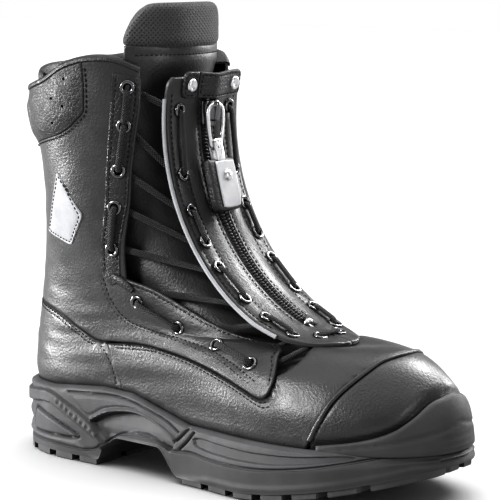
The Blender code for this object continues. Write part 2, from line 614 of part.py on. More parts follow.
def build_puller():
    first, second, third = pull_axes()
    down = (second - first) / np.linalg.norm(second - first)
    across = np.array([0.0, 1.0, 0.0])
    half, corner = PULLER_HALF, 3.2 * MM
    length = np.linalg.norm(second - first)
    line = []
    for cx, cy, start in ((half - corner, corner, -90), (half - corner, length - corner, 0),
                          (corner - half, length - corner, 90), (corner - half, corner, 180)):
        for turn in (0, 30, 60, 90):
            a = math.radians(start + turn)
            line.append(first + across * (cx + corner * math.cos(a)) + down * (cy + corner * math.sin(a)))
    tube("zip_puller", STEEL, line, PULLER_WIRE, cyclic=True)

    down = (third - second) / np.linalg.norm(third - second)
    out = np.cross(across, down)
    out *= np.sign(out[0])
    neck, shoulder, half = 2.9 * MM, 9 * MM, 12 * MM
    reach = np.linalg.norm(third - second)
    shape = [(-neck, -2.9 * MM), (neck, -2.9 * MM), (neck, shoulder - 2 * MM), (half - 2 * MM, shoulder),
             (half, shoulder + 2 * MM), (half, reach - 4 * MM), (half - 4 * MM, reach),
             (4 * MM - half, reach), (-half, reach - 4 * MM), (-half, shoulder + 2 * MM),
             (2 * MM - half, shoulder), (-neck, shoulder - 2 * MM)]
    thick = 2.1 * MM
    verts = [second + across * w + down * d + out * t for t in (-thick, thick) for w, d in shape]
    n = len(shape)
    faces = [(i, (i + 1) % n, (i + 1) % n + n, i + n) for i in range(n)]
    faces += [tuple(reversed(range(n))), tuple(range(n, 2 * n))]
    tab = add_mesh("pull_tab", verts, faces, SOFT_LEATHER, smooth=False)
    eye = turned("tab_eye_guide", SOFT_LEATHER,
                 [(0.0, -8 * MM), (1.5 * MM, -8 * MM), (1.5 * MM, 8 * MM), (0.0, 8 * MM)], second, across, down, 12)
    cut(tab, [eye])
    stud = second + down * (shoulder + 9 * MM) + out * (thick + GAP)
    cap("tab_rivet", stud, out, 3.1 * MM, 1.2 * MM)


def cap(name, origin, normal, radius, height, look=STEEL):
    profile = [(0.0, height), (0.6 * radius, 0.93 * height), (0.93 * radius, 0.55 * height), (radius, 0.0), (0.0, 0.0)]
    return turned(name, look, profile, origin, normal, sides=12)


STRAP_LOW, STRAP_HIGH = 6.2, 11.6         # degrees along the arc
STRAP_SPLIT = -11.6 * MM
STRAP_THICK = 2.0 * MM


def strap_depth(across):
    """How far the strap's under face stands off the insert: it rises over the end of the zip."""
    rows = [(-30, -0.5), (-12, -0.7), (-5, -3.2), (0, -4.6), (6, -3.6), (13, -2.2), (30, -2.2)]
    return float(np.interp(across / MM, [r[0] for r in rows], [r[1] for r in rows])) * MM


def strap_piece(name, stations):
    verts, faces = [], []
    for w in stations:
        low = strap_depth(w)
        for phi in (STRAP_LOW, STRAP_HIGH):
            verts += [on_arc(phi, w, low), on_arc(phi, w, low - STRAP_THICK)]
    for i in range(len(stations) - 1):
        a = 4 * i
        for j, k in ((0, 1), (1, 3), (3, 2), (2, 0)):
            faces.append((a + j, a + k, a + 4 + k, a + 4 + j))
    a = 4 * (len(stations) - 1)
    faces += [(0, 2, 3, 1), (a, a + 1, a + 3, a + 2)]
    return add_mesh(name, verts, faces, SOFT_LEATHER)


def build_strap():
    strap_piece("strap_anchor", [-22.5 * MM, STRAP_SPLIT - GAP])
    strap_piece("lock_strap", [STRAP_SPLIT + GAP, -5 * MM, 0.0, 6 * MM, 13 * MM, 28.5 * MM])
    middle = (STRAP_LOW + STRAP_HIGH) / 2
    for name, w, depth, radius, height in (
            ("strap_rivet", -17 * MM, strap_depth(-17 * MM) - STRAP_THICK - 0.7 * MM, 3.6 * MM, 1.4 * MM),
            ("snap_cap", 21 * MM, strap_depth(21 * MM) - STRAP_THICK - 0.6 * MM, 3.9 * MM, 1.5 * MM),
            ("snap_stud", 21 * MM, -0.7 * MM, 3.2 * MM, 0.9 * MM)):
        here = on_arc(middle, w, depth)
        out = here - on_arc(middle, w, depth + MM)
        cap(name, here, out, radius, height)


# ---------------------------------------------------------------- the lace

def lace_route(sign):
    """Corners of the lace on one side, from the end of the insert up to the top eyelet.

    It crosses behind the leather between the boot and the insert, and shows outside as short bars.
    """
    insert = INSERT_EYELETS[::-1]
    inner, cross, proud = -3.0 * MM, 4.4 * MM, -2.0 * MM

    def at_boot(number, out):
        v, angle = EYELETS[number]
        return on_last(v, -sign * angle, out)

    def at_insert(number, depth):
        phi, w = insert[number]
        return on_arc(phi, sign * w * MM, depth)

    def bar(number):
        return (OVERLAY if number < 5 else QUARTER)[1] + 3.6 * MM

    phi, w = INSERT_END
    route = [on_arc(phi, sign * w * MM, proud), on_arc(phi, sign * w * MM, 4.7 * MM)]
    route += [on_last(v, -sign * angle, out) for v, angle, out in
              ((4.2, -138, 0.7 * MM), (3.65, -130, 0.9 * MM), (3.35, -124, -2.0 * MM), (3.0, -118, -3.2 * MM))]
    for first, third in zip((8, 6, 4, 2), (0, 2, 4, 6)):
        second, fourth = first - 1, third + 1
        route += [at_boot(first, inner), at_boot(first, bar(first)), at_boot(second, bar(second)),
                  at_boot(second, inner)]
        route += [on_last(v, -sign * angle, inner) for v, angle in WING_LACE.get(second, [])]
        route += [at_insert(third, cross), at_insert(third, proud), at_insert(fourth, proud),
                  at_insert(fourth, cross)]
        route += [on_last(v, -sign * angle, inner) for v, angle in WING_LACE.get(first - 2, [])]
    return route + [at_boot(0, inner), at_boot(0, bar(0) - 1.6 * MM)]


def rounded(points, reach):
    """Cut each corner of a line back by up to reach."""
    line = [points[0]]
    for before, here, after in zip(points, points[1:], points[2:]):
        for other in (before, after):
            way = other - here
            line.append(here + way * min(reach / np.linalg.norm(way), 0.4))
    return line + [points[-1]]


def build_lace():
    tube("lace", LACE_CORD, rounded(lace_route(-1)[::-1] + lace_route(1), 1.4 * MM), LACE_R, resolution=1)


# ---------------------------------------------------------------- the sole

RIM = [(0, 0.5), (20, 0.5), (40, 0.55), (62, 0.8), (72, 0.75), (80, 0.45), (90, 0.12), (126, 0.12), (180, 0.1)]


def sole_angles():
    """Angles round the sole: even at the heel and toe, and at set places along the waist."""
    ends = [0, 9, 18, 27, 36, 45, 53]
    places = [-82, -73, -66, -54, -38, -24, -14, -5, 8, 26, 44, 62, 79]
    back, front = SLICES[0][2], SLICES[0][0]
    waist = [math.degrees(math.acos(1 - 2 * (x * MM - back) / (front - back))) for x in places]
    return ends + waist + [130, 138, 146, 154, 162, 171, 180]


def foot_plane(x):
    """Height of the upper's lower edge."""
    front, back = SLICES[0][0:2], SLICES[0][2:4]
    return back[1] + (front[1] - back[1]) * (x - back[0]) / (front[0] - back[0])


def ease(x):
    x = min(max(x, 0.0), 1.0)
    return x * x * (3 - 2 * x)


def tread(x):
    """Height of the tread's lowest face along the boot."""
    rise = ease((ARCH_FRONT - x) / (18 * MM)) * ease((x - ARCH_BACK) / (8 * MM))
    return ARCH_HEIGHT * rise + SOLE_SPRING * max(0.0, (x - SPRING_START) / SPRING_REACH) ** 1.5


def outsole_top(x):
    fore = ease((x - ARCH_FRONT) / (30 * MM))
    heel = ease((ARCH_BACK - x) / (20 * MM))
    top = tread(x) + 5.5 * MM + heel * (HEEL_OUTSOLE - 5.5 * MM) + fore * (FORE_OUTSOLE - 5.5 * MM)
    return min(top, foot_plane(x) - 3.6 * MM)


def around(angle, out):
    """A place off the sole edge, moved out level."""
    normal = last_normal(0.0, angle)
    normal[2] = 0.0
    return last_point(0.0, angle) + normal / np.linalg.norm(normal) * out


def sole_body(name, look, rings):
    """A closed solid from rings, each a function of the angle, capped across at both ends."""
    half = sole_angles()
    angles = half + [-a for a in half[-2:0:-1]]
    k = len(angles)
    verts = [ring(a) for ring in rings for a in angles]
    faces = []
    for i in range(len(rings) - 1):
        for j in range(k):
            a, b = i * k + j, i * k + (j + 1) % k
            faces.append((a, b, b + k, a + k))
    last = (len(rings) - 1) * k
    for base in (0, last):
        faces.append((base, base + 1, base + k - 1))
        for j in range(1, k // 2 - 1):
            faces.append((base + j, base + j + 1, base + k - j - 1, base + k - j))
        faces.append((base + k // 2 - 1, base + k // 2, base + k // 2 + 1))
    return add_mesh(name, verts, faces, look)


def level(out, height):
    def ring(angle):
        p = around(angle, out)
        p[2] = height(p[0])
        return p
    return ring


def rim_v(angle):
    return float(np.interp(abs(angle), [r[0] for r in RIM], [r[1] for r in RIM]))


def cup(out, drop=0.0):
    """Ring at the top of the sole's wall, which follows the rim line round the leather."""
    def ring(angle):
        p = around(angle, out)
        p[2] = last_point(rim_v(angle), angle)[2] - drop
        wall = on_last(rim_v(angle), angle, out)
        return np.array([wall[0], wall[1], p[2]])
    return ring


def slab(name, look, out, low, high):
    return sole_body(name, look, [level(out, lambda x: foot_plane(x) + high),
                                  level(out, lambda x: foot_plane(x) + low)])


def block(name, look, low, high, slope=0.0):
    verts = [(x, y, z + slope * x) for x in (low[0], high[0]) for y in (low[1], high[1]) for z in (low[2], high[2])]
    faces = [(0, 1, 3, 2), (4, 6, 7, 5), (0, 4, 5, 1), (2, 3, 7, 6), (0, 2, 6, 4), (1, 5, 7, 3)]
    return add_mesh(name, verts, faces, look, smooth=False)


def build_sole():
    floor = -0.6 * MM
    midsole = sole_body("midsole", MIDSOLE_PU, [
        level(-9 * MM, lambda x: foot_plane(x) + floor), level(0.2 * MM, lambda x: foot_plane(x) + floor),
        cup(0.4 * MM), cup(3.6 * MM), cup(5.4 * MM, 2.5 * MM),
        level(7.2 * MM, lambda x: 0.5 * (foot_plane(x) + outsole_top(x))),
        level(6.8 * MM, lambda x: outsole_top(x) + GAP)])
    slope = (SLICES[0][1] - SLICES[0][3]) / (SLICES[0][0] - SLICES[0][2])
    at_zero = foot_plane(0.0) + floor
    pocket = block("shank_pocket_guide", STEEL, (-98 * MM, -9 * MM, at_zero - 2.6 * MM),
                   (8 * MM, 9 * MM, at_zero + 3 * MM), slope)
    cut(midsole, [pocket])
    block("shank", STEEL, (-97.6 * MM, -8.6 * MM, at_zero - 2.2 * MM), (7.6 * MM, 8.6 * MM, at_zero - 0.3 * MM), slope)

    def foot(angle):
        """The tread's edge, which flares out round the heel."""
        flare = 1.8 * MM * ease((75 - abs(angle)) / 40)
        return level(5.8 * MM + flare, tread)(angle)

    outsole = sole_body("outsole", RUBBER, [
        level(6.8 * MM, outsole_top), level(7.6 * MM, lambda x: outsole_top(x) - 2.0 * MM), foot])
    grooves = []
    for number, (x, width) in enumerate(((-130, 6), (-110, 6), (-90, 6), (14, 6), (34, 6), (54, 6), (74, 6),
                                         (94, 6), (114, 6)), 1):
        top = tread(x * MM) + GROOVE_DEPTH
        grooves.append(block("groove_guide_%d" % number, RUBBER, ((x - width / 2) * MM, -80 * MM, -5 * MM),
                             ((x + width / 2) * MM, 80 * MM, top)))
    cut(outsole, grooves)

    slab("insole_board", COMPOSITE, -9.4 * MM, -0.3 * MM, 1.4 * MM)
    slab("puncture_plate", COMPOSITE, -10.0 * MM, 1.7 * MM, 2.6 * MM)
    slab("footbed", LINING_FABRIC, -10.6 * MM, 2.9 * MM, 7.5 * MM)


def main():
    clear_scene()
    build_sole()
    build_quarters()
    build_vamp()
    build_toe_guard()
    build_back_pieces()
    build_front_pieces()
    build_eyestays()
    build_eyelets()
    build_insert()
    build_slider()
    build_puller()
    build_strap()
    build_lace()


main()
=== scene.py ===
"""The looks of the fire boot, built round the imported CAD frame.

Metres, in the frame's axes: +X to the toe, -Y to the outer side, +Z up, floor at z = 0.
Leather pieces are patterns laid on the same last as in the CAD, in (v, angle): v counts the last's key
slices from the sole edge up, angle runs round a slice, 0 at the heel, 180 at the front, negative outside.
"""
import json
import math

import bmesh
import bpy
import numpy as np
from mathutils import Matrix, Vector
from mathutils.geometry import delaunay_2d_cdt


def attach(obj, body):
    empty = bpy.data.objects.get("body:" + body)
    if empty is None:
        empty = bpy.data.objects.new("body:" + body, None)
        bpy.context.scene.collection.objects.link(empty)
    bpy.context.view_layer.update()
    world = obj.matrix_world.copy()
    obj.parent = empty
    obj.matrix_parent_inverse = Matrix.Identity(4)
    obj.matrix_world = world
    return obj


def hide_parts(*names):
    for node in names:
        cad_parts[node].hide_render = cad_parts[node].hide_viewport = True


MM = 0.001
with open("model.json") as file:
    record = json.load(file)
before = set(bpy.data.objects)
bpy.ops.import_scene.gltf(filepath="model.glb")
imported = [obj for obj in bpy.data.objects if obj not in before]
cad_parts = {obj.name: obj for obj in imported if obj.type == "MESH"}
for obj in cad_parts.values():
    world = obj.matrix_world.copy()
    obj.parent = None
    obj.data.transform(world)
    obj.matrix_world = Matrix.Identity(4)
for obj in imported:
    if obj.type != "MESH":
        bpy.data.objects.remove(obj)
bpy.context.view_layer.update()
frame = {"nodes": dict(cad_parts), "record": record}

# ---------------------------------------------------------------- camera, floor and light

CAMERA_PLACE = (0.7282, -0.9584, 0.2992)
CAMERA_TURN = math.radians(37.0)
CAMERA_DIP = 0.14007
CAMERA_LENS = 151.8
CAMERA_SHIFT = 0.0048, 0.0005
FLOOR_SIZE = 6.0
FLOOR_COLOUR = (0.86, 0.86, 0.86, 1)
SKY, BACKDROP = 0.30, 1.0
LIGHTS = (("key", (-0.50, -1.40, 0.80), 0.50, 52.0),
          ("left", (-1.30, -0.58, 0.20), 0.36, 42.0),
          ("back", (0.30, 1.25, 1.25), 0.70, 46.0),
          ("rim", (0.35, 1.70, 0.50), 0.60, 20.0),
          ("front", (1.60, -0.10, 0.50), 0.50, 10.0))
LAMPS_AIM = Vector((0, 0, 0.1))
SUN, SUN_SPREAD = 3.9, math.radians(80)
CONTRAST = 0.78


def build_stage():
    eye = bpy.data.objects.new("camera", bpy.data.cameras.new("camera"))
    bpy.context.scene.collection.objects.link(eye)
    eye.location = CAMERA_PLACE
    look = Vector((-math.sin(CAMERA_TURN) * math.cos(CAMERA_DIP),
                   math.cos(CAMERA_TURN) * math.cos(CAMERA_DIP), -math.sin(CAMERA_DIP)))
    eye.rotation_euler = look.to_track_quat("-Z", "Y").to_euler()
    eye.data.lens = CAMERA_LENS
    eye.data.sensor_width = 36.0
    eye.data.shift_x, eye.data.shift_y = CAMERA_SHIFT
    eye.data.clip_start = 0.05
    bpy.context.scene.camera = eye

    mesh = bpy.data.meshes.new("floor")
    corners = [(x * FLOOR_SIZE, y * FLOOR_SIZE, 0) for x, y in ((-1, -1), (1, -1), (1, 1), (-1, 1))]
    mesh.from_pydata(corners, [], [(0, 1, 2, 3)])
    floor = bpy.data.objects.new("floor", mesh)
    bpy.context.scene.collection.objects.link(floor)
    pale = bpy.data.materials.new("floor_pale")
    pale.use_nodes = True
    shader = pale.node_tree.nodes["Principled BSDF"]
    shader.inputs["Base Color"].default_value = FLOOR_COLOUR
    shader.inputs["Roughness"].default_value = 0.9
    mesh.materials.append(pale)

    bpy.context.scene.view_settings.view_transform = "Standard"
    bpy.context.scene.view_settings.gamma = CONTRAST
    build_sky()
    left_out = bpy.data.collections.new("not_lit_by_the_lamps")
    left_out.objects.link(floor)
    left_out.collection_objects[0].light_linking.link_state = "EXCLUDE"
    for name, place, size, power in LIGHTS:
        light = bpy.data.lights.new(name, "AREA")
        light.shape = "DISK"
        light.size = size
        light.energy = power
        lamp = bpy.data.objects.new(name, light)
        lamp.location = place
        lamp.light_linking.receiver_collection = left_out
        lamp.rotation_euler = (LAMPS_AIM - Vector(place)).to_track_quat("-Z", "Y").to_euler()
        bpy.context.scene.collection.objects.link(lamp)
    light = bpy.data.lights.new("ceiling", "SUN")
    light.energy = SUN
    light.angle = SUN_SPREAD
    bpy.context.scene.collection.objects.link(bpy.data.objects.new("ceiling", light))


def build_sky():
    """A dim studio with a white backdrop behind the boot, so the pale floor has no visible end."""
    world = bpy.data.worlds.new("studio")
    world.use_nodes = True
    nodes, links = world.node_tree.nodes, world.node_tree.links
    place = nodes.new("ShaderNodeTexCoord")
    facing = nodes.new("ShaderNodeVectorMath")
    facing.operation = "DOT_PRODUCT"
    facing.inputs[1].default_value = (-math.sin(CAMERA_TURN), math.cos(CAMERA_TURN), 0)
    fade = nodes.new("ShaderNodeMapRange")
    links.new(place.outputs["Generated"], facing.inputs[0])
    links.new(facing.outputs["Value"], fade.inputs["Value"])
    for key, value in (("From Min", 0.90), ("From Max", 0.97), ("To Min", SKY), ("To Max", BACKDROP)):
        fade.inputs[key].default_value = value
    links.new(fade.outputs[0], nodes["Background"].inputs["Strength"])
    nodes["Background"].inputs["Color"].default_value = (1, 1, 1, 1)
    bpy.context.scene.world = world


build_stage()

# ---------------------------------------------------------------- materials


class Look:
    """A node material built step by step, from places in metres or from the pattern's UV in mm."""

    def __init__(self, name, colour, roughness, metallic=0.0, sheen=0.0, specular=0.5):
        self.material = bpy.data.materials.new(name)
        self.material.use_nodes = True
        self.tree = self.material.node_tree
        self.shader = self.tree.nodes["Principled BSDF"]
        self.shader.inputs["Base Color"].default_value = (*colour, 1)
        self.shader.inputs["Roughness"].default_value = roughness
        self.shader.inputs["Metallic"].default_value = metallic
        self.shader.inputs["Sheen Weight"].default_value = sheen
        self.shader.inputs["Sheen Roughness"].default_value = 0.5
        self.shader.inputs["Specular IOR Level"].default_value = specular
        self.colour = colour
        place = self.tree.nodes.new("ShaderNodeTexCoord")
        self.place = place.outputs["Object"]
        self.pattern = place.outputs["UV"]
        self.height = None

    def feed(self, socket, value):
        """Links a socket's value to it, or sets a plain one."""
        if isinstance(value, bpy.types.NodeSocket):
            self.tree.links.new(value, socket)
        else:
            socket.default_value = value

    def node(self, kind, **inputs):
        made = self.tree.nodes.new("ShaderNode" + kind)
        for key, value in inputs.items():
            self.feed(made.inputs[key], value)
        return made

    def noise(self, size, detail, rough=0.5):
        """Noise with features about `size` metres across."""
        return self.node("TexNoise", Vector=self.place, Scale=1.0 / size, Detail=detail,
                         Roughness=rough).outputs["Fac"]

    def cells(self, size, feature="F1"):
        made = self.node("TexVoronoi", Vector=self.place, Scale=1.0 / size)
        made.feature = feature
        return made.outputs["Distance"]

    def ramp(self, value, stops):
        made = self.node("ValToRGB", Fac=value)
        while len(made.color_ramp.elements) < len(stops):
            made.color_ramp.elements.new(0.5)
        for element, (at, level) in zip(made.color_ramp.elements, stops):
            element.position = at
            element.color = (level, level, level, 1)
        return made.outputs["Color"]

    def math(self, what, a, b=0.0):
        made = self.tree.nodes.new("ShaderNodeMath")
        made.operation = what
        for socket, value in zip(made.inputs, (a, b)):
            self.feed(socket, value)
        return made.outputs[0]

    def range(self, value, low, high, from_low=0.3, from_high=0.7):
        made = self.node("MapRange", Value=value)
        ends = (("From Min", from_low), ("From Max", from_high), ("To Min", low), ("To Max", high))
        for key, number in ends:
            made.inputs[key].default_value = number
        return made.outputs[0]

    def tint(self, amount, low, high):
        """Colour swings between low and high times the base colour as amount goes 0 to 1."""
        mix = self.tree.nodes.new("ShaderNodeMix")
        mix.data_type = "RGBA"
        self.tree.links.new(amount, mix.inputs["Factor"])
        mix.inputs["A"].default_value = (*[c * low for c in self.colour], 1)
        mix.inputs["B"].default_value = (*[c * high for c in self.colour], 1)
        self.tree.links.new(mix.outputs["Result"], self.shader.inputs["Base Color"])

    def rough(self, value):
        self.tree.links.new(value, self.shader.inputs["Roughness"])

    def raise_by(self, value, depth):
        """Adds a height in metres to the surface's fine relief."""
        bump = self.node("Bump", Height=value, Distance=depth, Strength=1.0)
        if self.height is not None:
            self.tree.links.new(self.height, bump.inputs["Normal"])
        self.height = bump.outputs["Normal"]
        self.tree.links.new(self.height, self.shader.inputs["Normal"])


def painted_edge_light_and_hollow_shade(look, base, lighter):
    """Edges painted lighter for a highlight and hollows painted darker for shade, over a cloudy variation."""
    geometry = look.tree.nodes.new("ShaderNodeNewGeometry")
    # painted highlight on convex edges and painted shade in hollows, both read from the mesh's pointiness
    edge = look.range(geometry.outputs["Pointiness"], 0.0, 0.55, 0.52, 0.62)
    hollow = look.range(geometry.outputs["Pointiness"], 0.0, 0.35, 0.42, 0.495)
    cloud = look.range(look.noise(0.03, 4.0), 0.0, 0.30)
    look.tint(look.math("ADD", look.math("ADD", edge, hollow), cloud), base, lighter)


def smooth_leather():
    look = Look("black_leather", (0.011, 0.011, 0.0115), 0.36, specular=0.40)
    # painted highlight on the edges and painted shade in the hollows
    painted_edge_light_and_hollow_shade(look, 0.35, 2.1)
    look.rough(look.range(look.noise(0.012, 5.0, 0.6), 0.32, 0.46))
    look.raise_by(look.noise(0.026, 2.0), 0.00025)
    look.raise_by(look.cells(0.0013, feature="SMOOTH_F1"), 0.00013)
    look.raise_by(look.noise(0.0006, 2.0, 0.6), 0.00010)
    return look.material


GRAIN = 1.6 * MM


def grained_leather(name, colour, depth, roughness):
    look = Look(name, colour, roughness, specular=0.32)
    # painted highlight on the edges and painted shade in the hollows
    painted_edge_light_and_hollow_shade(look, 0.4, 1.7)
    pebbles = look.cells(GRAIN, feature="SMOOTH_F1")
    creases = look.ramp(look.cells(GRAIN * 1.3, feature="DISTANCE_TO_EDGE"), [(0.0, 0.0), (0.22, 1.0)])
    look.rough(look.range(look.noise(0.006, 4.0), roughness - 0.07, roughness + 0.08))
    look.raise_by(look.noise(0.009, 3.0), 0.0005)
    look.raise_by(creases, depth)
    look.raise_by(pebbles, -depth * 0.6)
    return look.material


def woven(name, colour, pitch, depth, roughness=0.85, holes=0.0):
    """A plain weave in the pattern's own directions, with punched holes where a spacing is given."""
    look = Look(name, colour, roughness, sheen=0.08, specular=0.3)
    parts = look.node("SeparateXYZ", Vector=look.pattern)
    waves = []
    for axis in (0, 1):
        turn = look.math("MULTIPLY", parts.outputs[axis], 2 * math.pi / (pitch / MM))
        waves.append(look.math("SINE", turn))
    weave = look.math("MULTIPLY", waves[0], waves[1])
    look.raise_by(weave, depth)
    if holes:
        turned = look.node("Mapping", Vector=look.pattern)
        turned.inputs["Rotation"].default_value = (0, 0, math.radians(45))
        dots = look.node("TexVoronoi", Vector=turned.outputs[0], Scale=MM / holes, Randomness=0.0)
        hole = look.ramp(dots.outputs["Distance"], [(0.20, 0.0), (0.30, 1.0)])
        look.raise_by(hole, 0.0006)
        # painted shade: the punched holes are tinted dark for the shade inside them
        look.tint(hole, 0.12, 1.3)
    else:
        # painted shade: the weave's low points are tinted darker, following its relief; the noise is random
        # tone
        shade = look.range(look.noise(0.01, 4.0), 0.0, 1.0)
        look.tint(look.math("ADD", look.math("MULTIPLY", weave, 0.3), shade), 0.7, 1.3)
    return look.material


def moulded(name, colour, roughness, grain=0.0006):
    look = Look(name, colour, roughness, specular=0.22)
    # painted highlight on the edges and painted shade in the hollows
    painted_edge_light_and_hollow_shade(look, 0.25, 1.75)
    look.rough(look.range(look.noise(0.008, 4.0), roughness - 0.06, roughness + 0.08))
    look.raise_by(look.noise(grain, 3.0, 0.6), 0.00012)
    look.raise_by(look.noise(0.015, 2.0), 0.0003)
    return look.material


def metal(name, colour, roughness):
    look = Look(name, colour, roughness, metallic=1.0)
    look.rough(look.range(look.noise(0.0015, 5.0, 0.7), roughness * 0.7, roughness * 1.5))
    look.raise_by(look.noise(0.0012, 4.0), 0.00003)
    return look.material


def thread_look(name, colour):
    look = Look(name, colour, 0.75, specular=0.2)
    look.tint(look.range(look.noise(0.0015, 3.0), 0.0, 1.0), 0.7, 1.4)
    look.raise_by(look.noise(0.0004, 2.0), 0.0001)
    return look.material


def film_look():
    look = Look("reflective_film", (0.20, 0.203, 0.21), 0.60, specular=0.25)
    beads = look.cells(0.0007)
    look.tint(look.range(look.noise(0.01, 4.0), 0.0, 1.0), 0.88, 1.08)
    look.raise_by(beads, 0.00006)
    look.raise_by(look.noise(0.02, 3.0), 0.0004)
    return look.material


LEATHER = smooth_leather()
SOFT = grained_leather("soft_leather", (0.010, 0.010, 0.0105), 0.00012, 0.42)
PEBBLED = grained_leather("collar_leather", (0.007, 0.007, 0.0075), 0.00013, 0.50)
LINING_LOOK = woven("lining_fabric", (0.022, 0.022, 0.023), 1.6 * MM, 0.00025)
PAD_LOOK = woven("pad_fabric", (0.026, 0.026, 0.027), 0.7 * MM, 0.00012, 0.7, holes=2.0 * MM)
TAPE_LOOK = woven("zip_tape", (0.012, 0.012, 0.012), 1.0 * MM, 0.0002)
LACE_LOOK = woven("lace_cord", (0.008, 0.008, 0.0085), 1.5 * MM, 0.0003, 0.8)
THREAD = thread_look("thread", (0.006, 0.006, 0.006))
RUBBER = moulded("rubber", (0.030, 0.030, 0.031), 0.60)
MIDSOLE = moulded("midsole_pu", (0.036, 0.036, 0.0375), 0.58, 0.0004)
FILM = film_look()
# painted highlight: a pale face for the sheen on the dark leather pull tab
TAB_PAINTED_HIGHLIGHT = moulded("painted_tab_highlight", (0.30, 0.30, 0.31), 0.36)
STEEL = metal("steel", (0.50, 0.50, 0.51), 0.30)
DARK_METAL = metal("black_metal", (0.13, 0.13, 0.135), 0.20)
PLASTIC = moulded("zip_plastic", (0.018, 0.018, 0.019), 0.28)
COMPOSITE = moulded("composite", (0.16, 0.16, 0.14), 0.6)
FOAM = moulded("foam", (0.2, 0.2, 0.2), 0.9)

FRAME_LOOKS = {"black_leather": LEATHER, "soft_leather": SOFT, "lining_fabric": LINING_LOOK,
               "pad_fabric": PAD_LOOK, "foam": FOAM, "rubber": RUBBER, "midsole_pu": MIDSOLE,
               "composite": COMPOSITE, "reflective": FILM, "steel": STEEL, "black_metal": DARK_METAL,
               "zip_plastic": PLASTIC, "lace_cord": LACE_LOOK}
for part in frame["record"]["subparts"]:
    for slot in frame["nodes"][part["node"]].material_slots:
        slot.material = FRAME_LOOKS[part["material_slot"]]
frame["nodes"]["zip_tape"].material_slots[0].material = TAPE_LOOK

# ---------------------------------------------------------------- the last

LAST = [
    ((143, 30), (-143, 34), (62, 42, 43, 60, 74), (60, 40, 38, 54, 72)),
    ((141, 50), (-146, 50), (62, 42, 43, 58, 74), (60, 40, 38, 53, 72)),
    ((131, 66), (-146, 61), (59, 42, 42, 52, 64), (58, 40, 38, 49, 62)),
    ((117, 77), (-145, 71), (57, 41, 40, 43, 54), (57, 40, 38, 42, 53)),
    ((98, 81.5), (-143, 80), (56, 41, 38, 35, 34), (56, 40, 37, 36, 34)),
    ((70, 80), (-141, 92), (54, 41, 37, 35, 30), (54, 40, 37, 36, 30)),
    ((45, 85.5), (-139, 104), (52, 41, 38, 38, 37), (52, 41, 38, 38, 37)),
    ((22, 100), (-137, 117), (50, 42, 40, 39, 37), (50, 42, 41, 39, 38)),
    ((0, 120), (-135, 131), (48, 44, 43, 41, 38), (48, 44, 44, 42, 40)),
    ((-16, 143), (-133, 146), (48, 47, 47, 44, 42), (48, 47, 47, 46, 46)),
    ((-25, 166), (-131, 163), (50, 50, 50, 48, 46), (50, 50, 50, 52, 54)),
    ((-28, 190), (-132, 185), (54, 53, 52, 52, 50), (54, 53, 53, 57, 62)),
    ((-29, 212), (-136, 208), (57, 56, 55, 55, 54), (56, 55, 56, 61, 68)),
    ((-30, 240), (-141, 240), (60, 58, 57, 57, 56), (57, 55.5, 56, 61, 71)),
    ((-31, 272), (-150, 272), (62, 60, 59, 59, 58), (59, 58, 59, 64, 74)),
]
TOE_SWING = 9 * MM
TOE_SWING_START, TOE_SWING_REACH = 30 * MM, 110 * MM
SLICES = np.array([front + back + outer + inner for front, back, outer, inner in LAST], float) * MM

ZIP_X, ZIP_Z, ZIP_R = 98 * MM, 204 * MM, 122 * MM
INSERT_CROWN = 150 * MM


def through(rows, t):
    """Catmull-Rom curve through rows, read at many t at once; rows may be one set, or one set per t."""
    rows = np.asarray(rows, float)
    t = np.atleast_1d(np.asarray(t, float))
    count = rows.shape[-2]
    i = np.clip(np.floor(t).astype(int), 0, count - 2)
    f = (t - i)[:, None]
    if rows.ndim == 2:
        full = np.vstack([2 * rows[:1] - rows[1:2], rows, 2 * rows[-1:] - rows[-2:-1]])
        p0, p1, p2, p3 = (full[i + k] for k in range(4))
    else:
        first, last = 2 * rows[:, :1] - rows[:, 1:2], 2 * rows[:, -1:] - rows[:, -2:-1]
        full = np.concatenate([first, rows, last], axis=1)
        each = np.arange(len(t))
        p0, p1, p2, p3 = (full[each, i + k] for k in range(4))
    return 0.5 * (2 * p1 + (p2 - p0) * f + (2 * p0 - 5 * p1 + 4 * p2 - p3) * f * f
                  + (3 * p1 - p0 - 3 * p2 + p3) * f ** 3)


def last_points(v, angle):
    v = np.atleast_1d(np.asarray(v, float))
    angle = np.broadcast_to(np.atleast_1d(np.asarray(angle, float)), v.shape)
    theta = np.radians((angle + 180) % 360 - 180)
    row = through(SLICES, v)
    widths = np.where((theta < 0)[:, None], row[:, 4:9], row[:, 9:14])
    s = (1 - np.cos(theta)) / 2
    half = through(widths[:, :, None], 4 * s)[:, 0]
    x = row[:, 2] + (row[:, 0] - row[:, 2]) * s
    z = row[:, 3] + (row[:, 1] - row[:, 3]) * s
    swing = TOE_SWING * np.maximum(0.0, (x - TOE_SWING_START) / TOE_SWING_REACH) ** 1.5
    return np.stack([x, np.sin(theta) * half + swing, z], axis=1)


def unit(a):
    return a / np.linalg.norm(a, axis=-1, keepdims=True)


def last_normals(v, angle):
    v = np.atleast_1d(np.asarray(v, float))
    round_it = last_points(v, np.asarray(angle) + 1.5) - last_points(v, np.asarray(angle) - 1.5)
    up_it = last_points(v + 0.06, angle) - last_points(v - 0.06, angle)
    return unit(np.cross(up_it, round_it))


def on_last(v, angle, out):
    """Places off the last, for single numbers or arrays."""
    normal = last_normals(v, angle)
    return last_points(v, angle) + normal * np.reshape(out, (-1, 1))


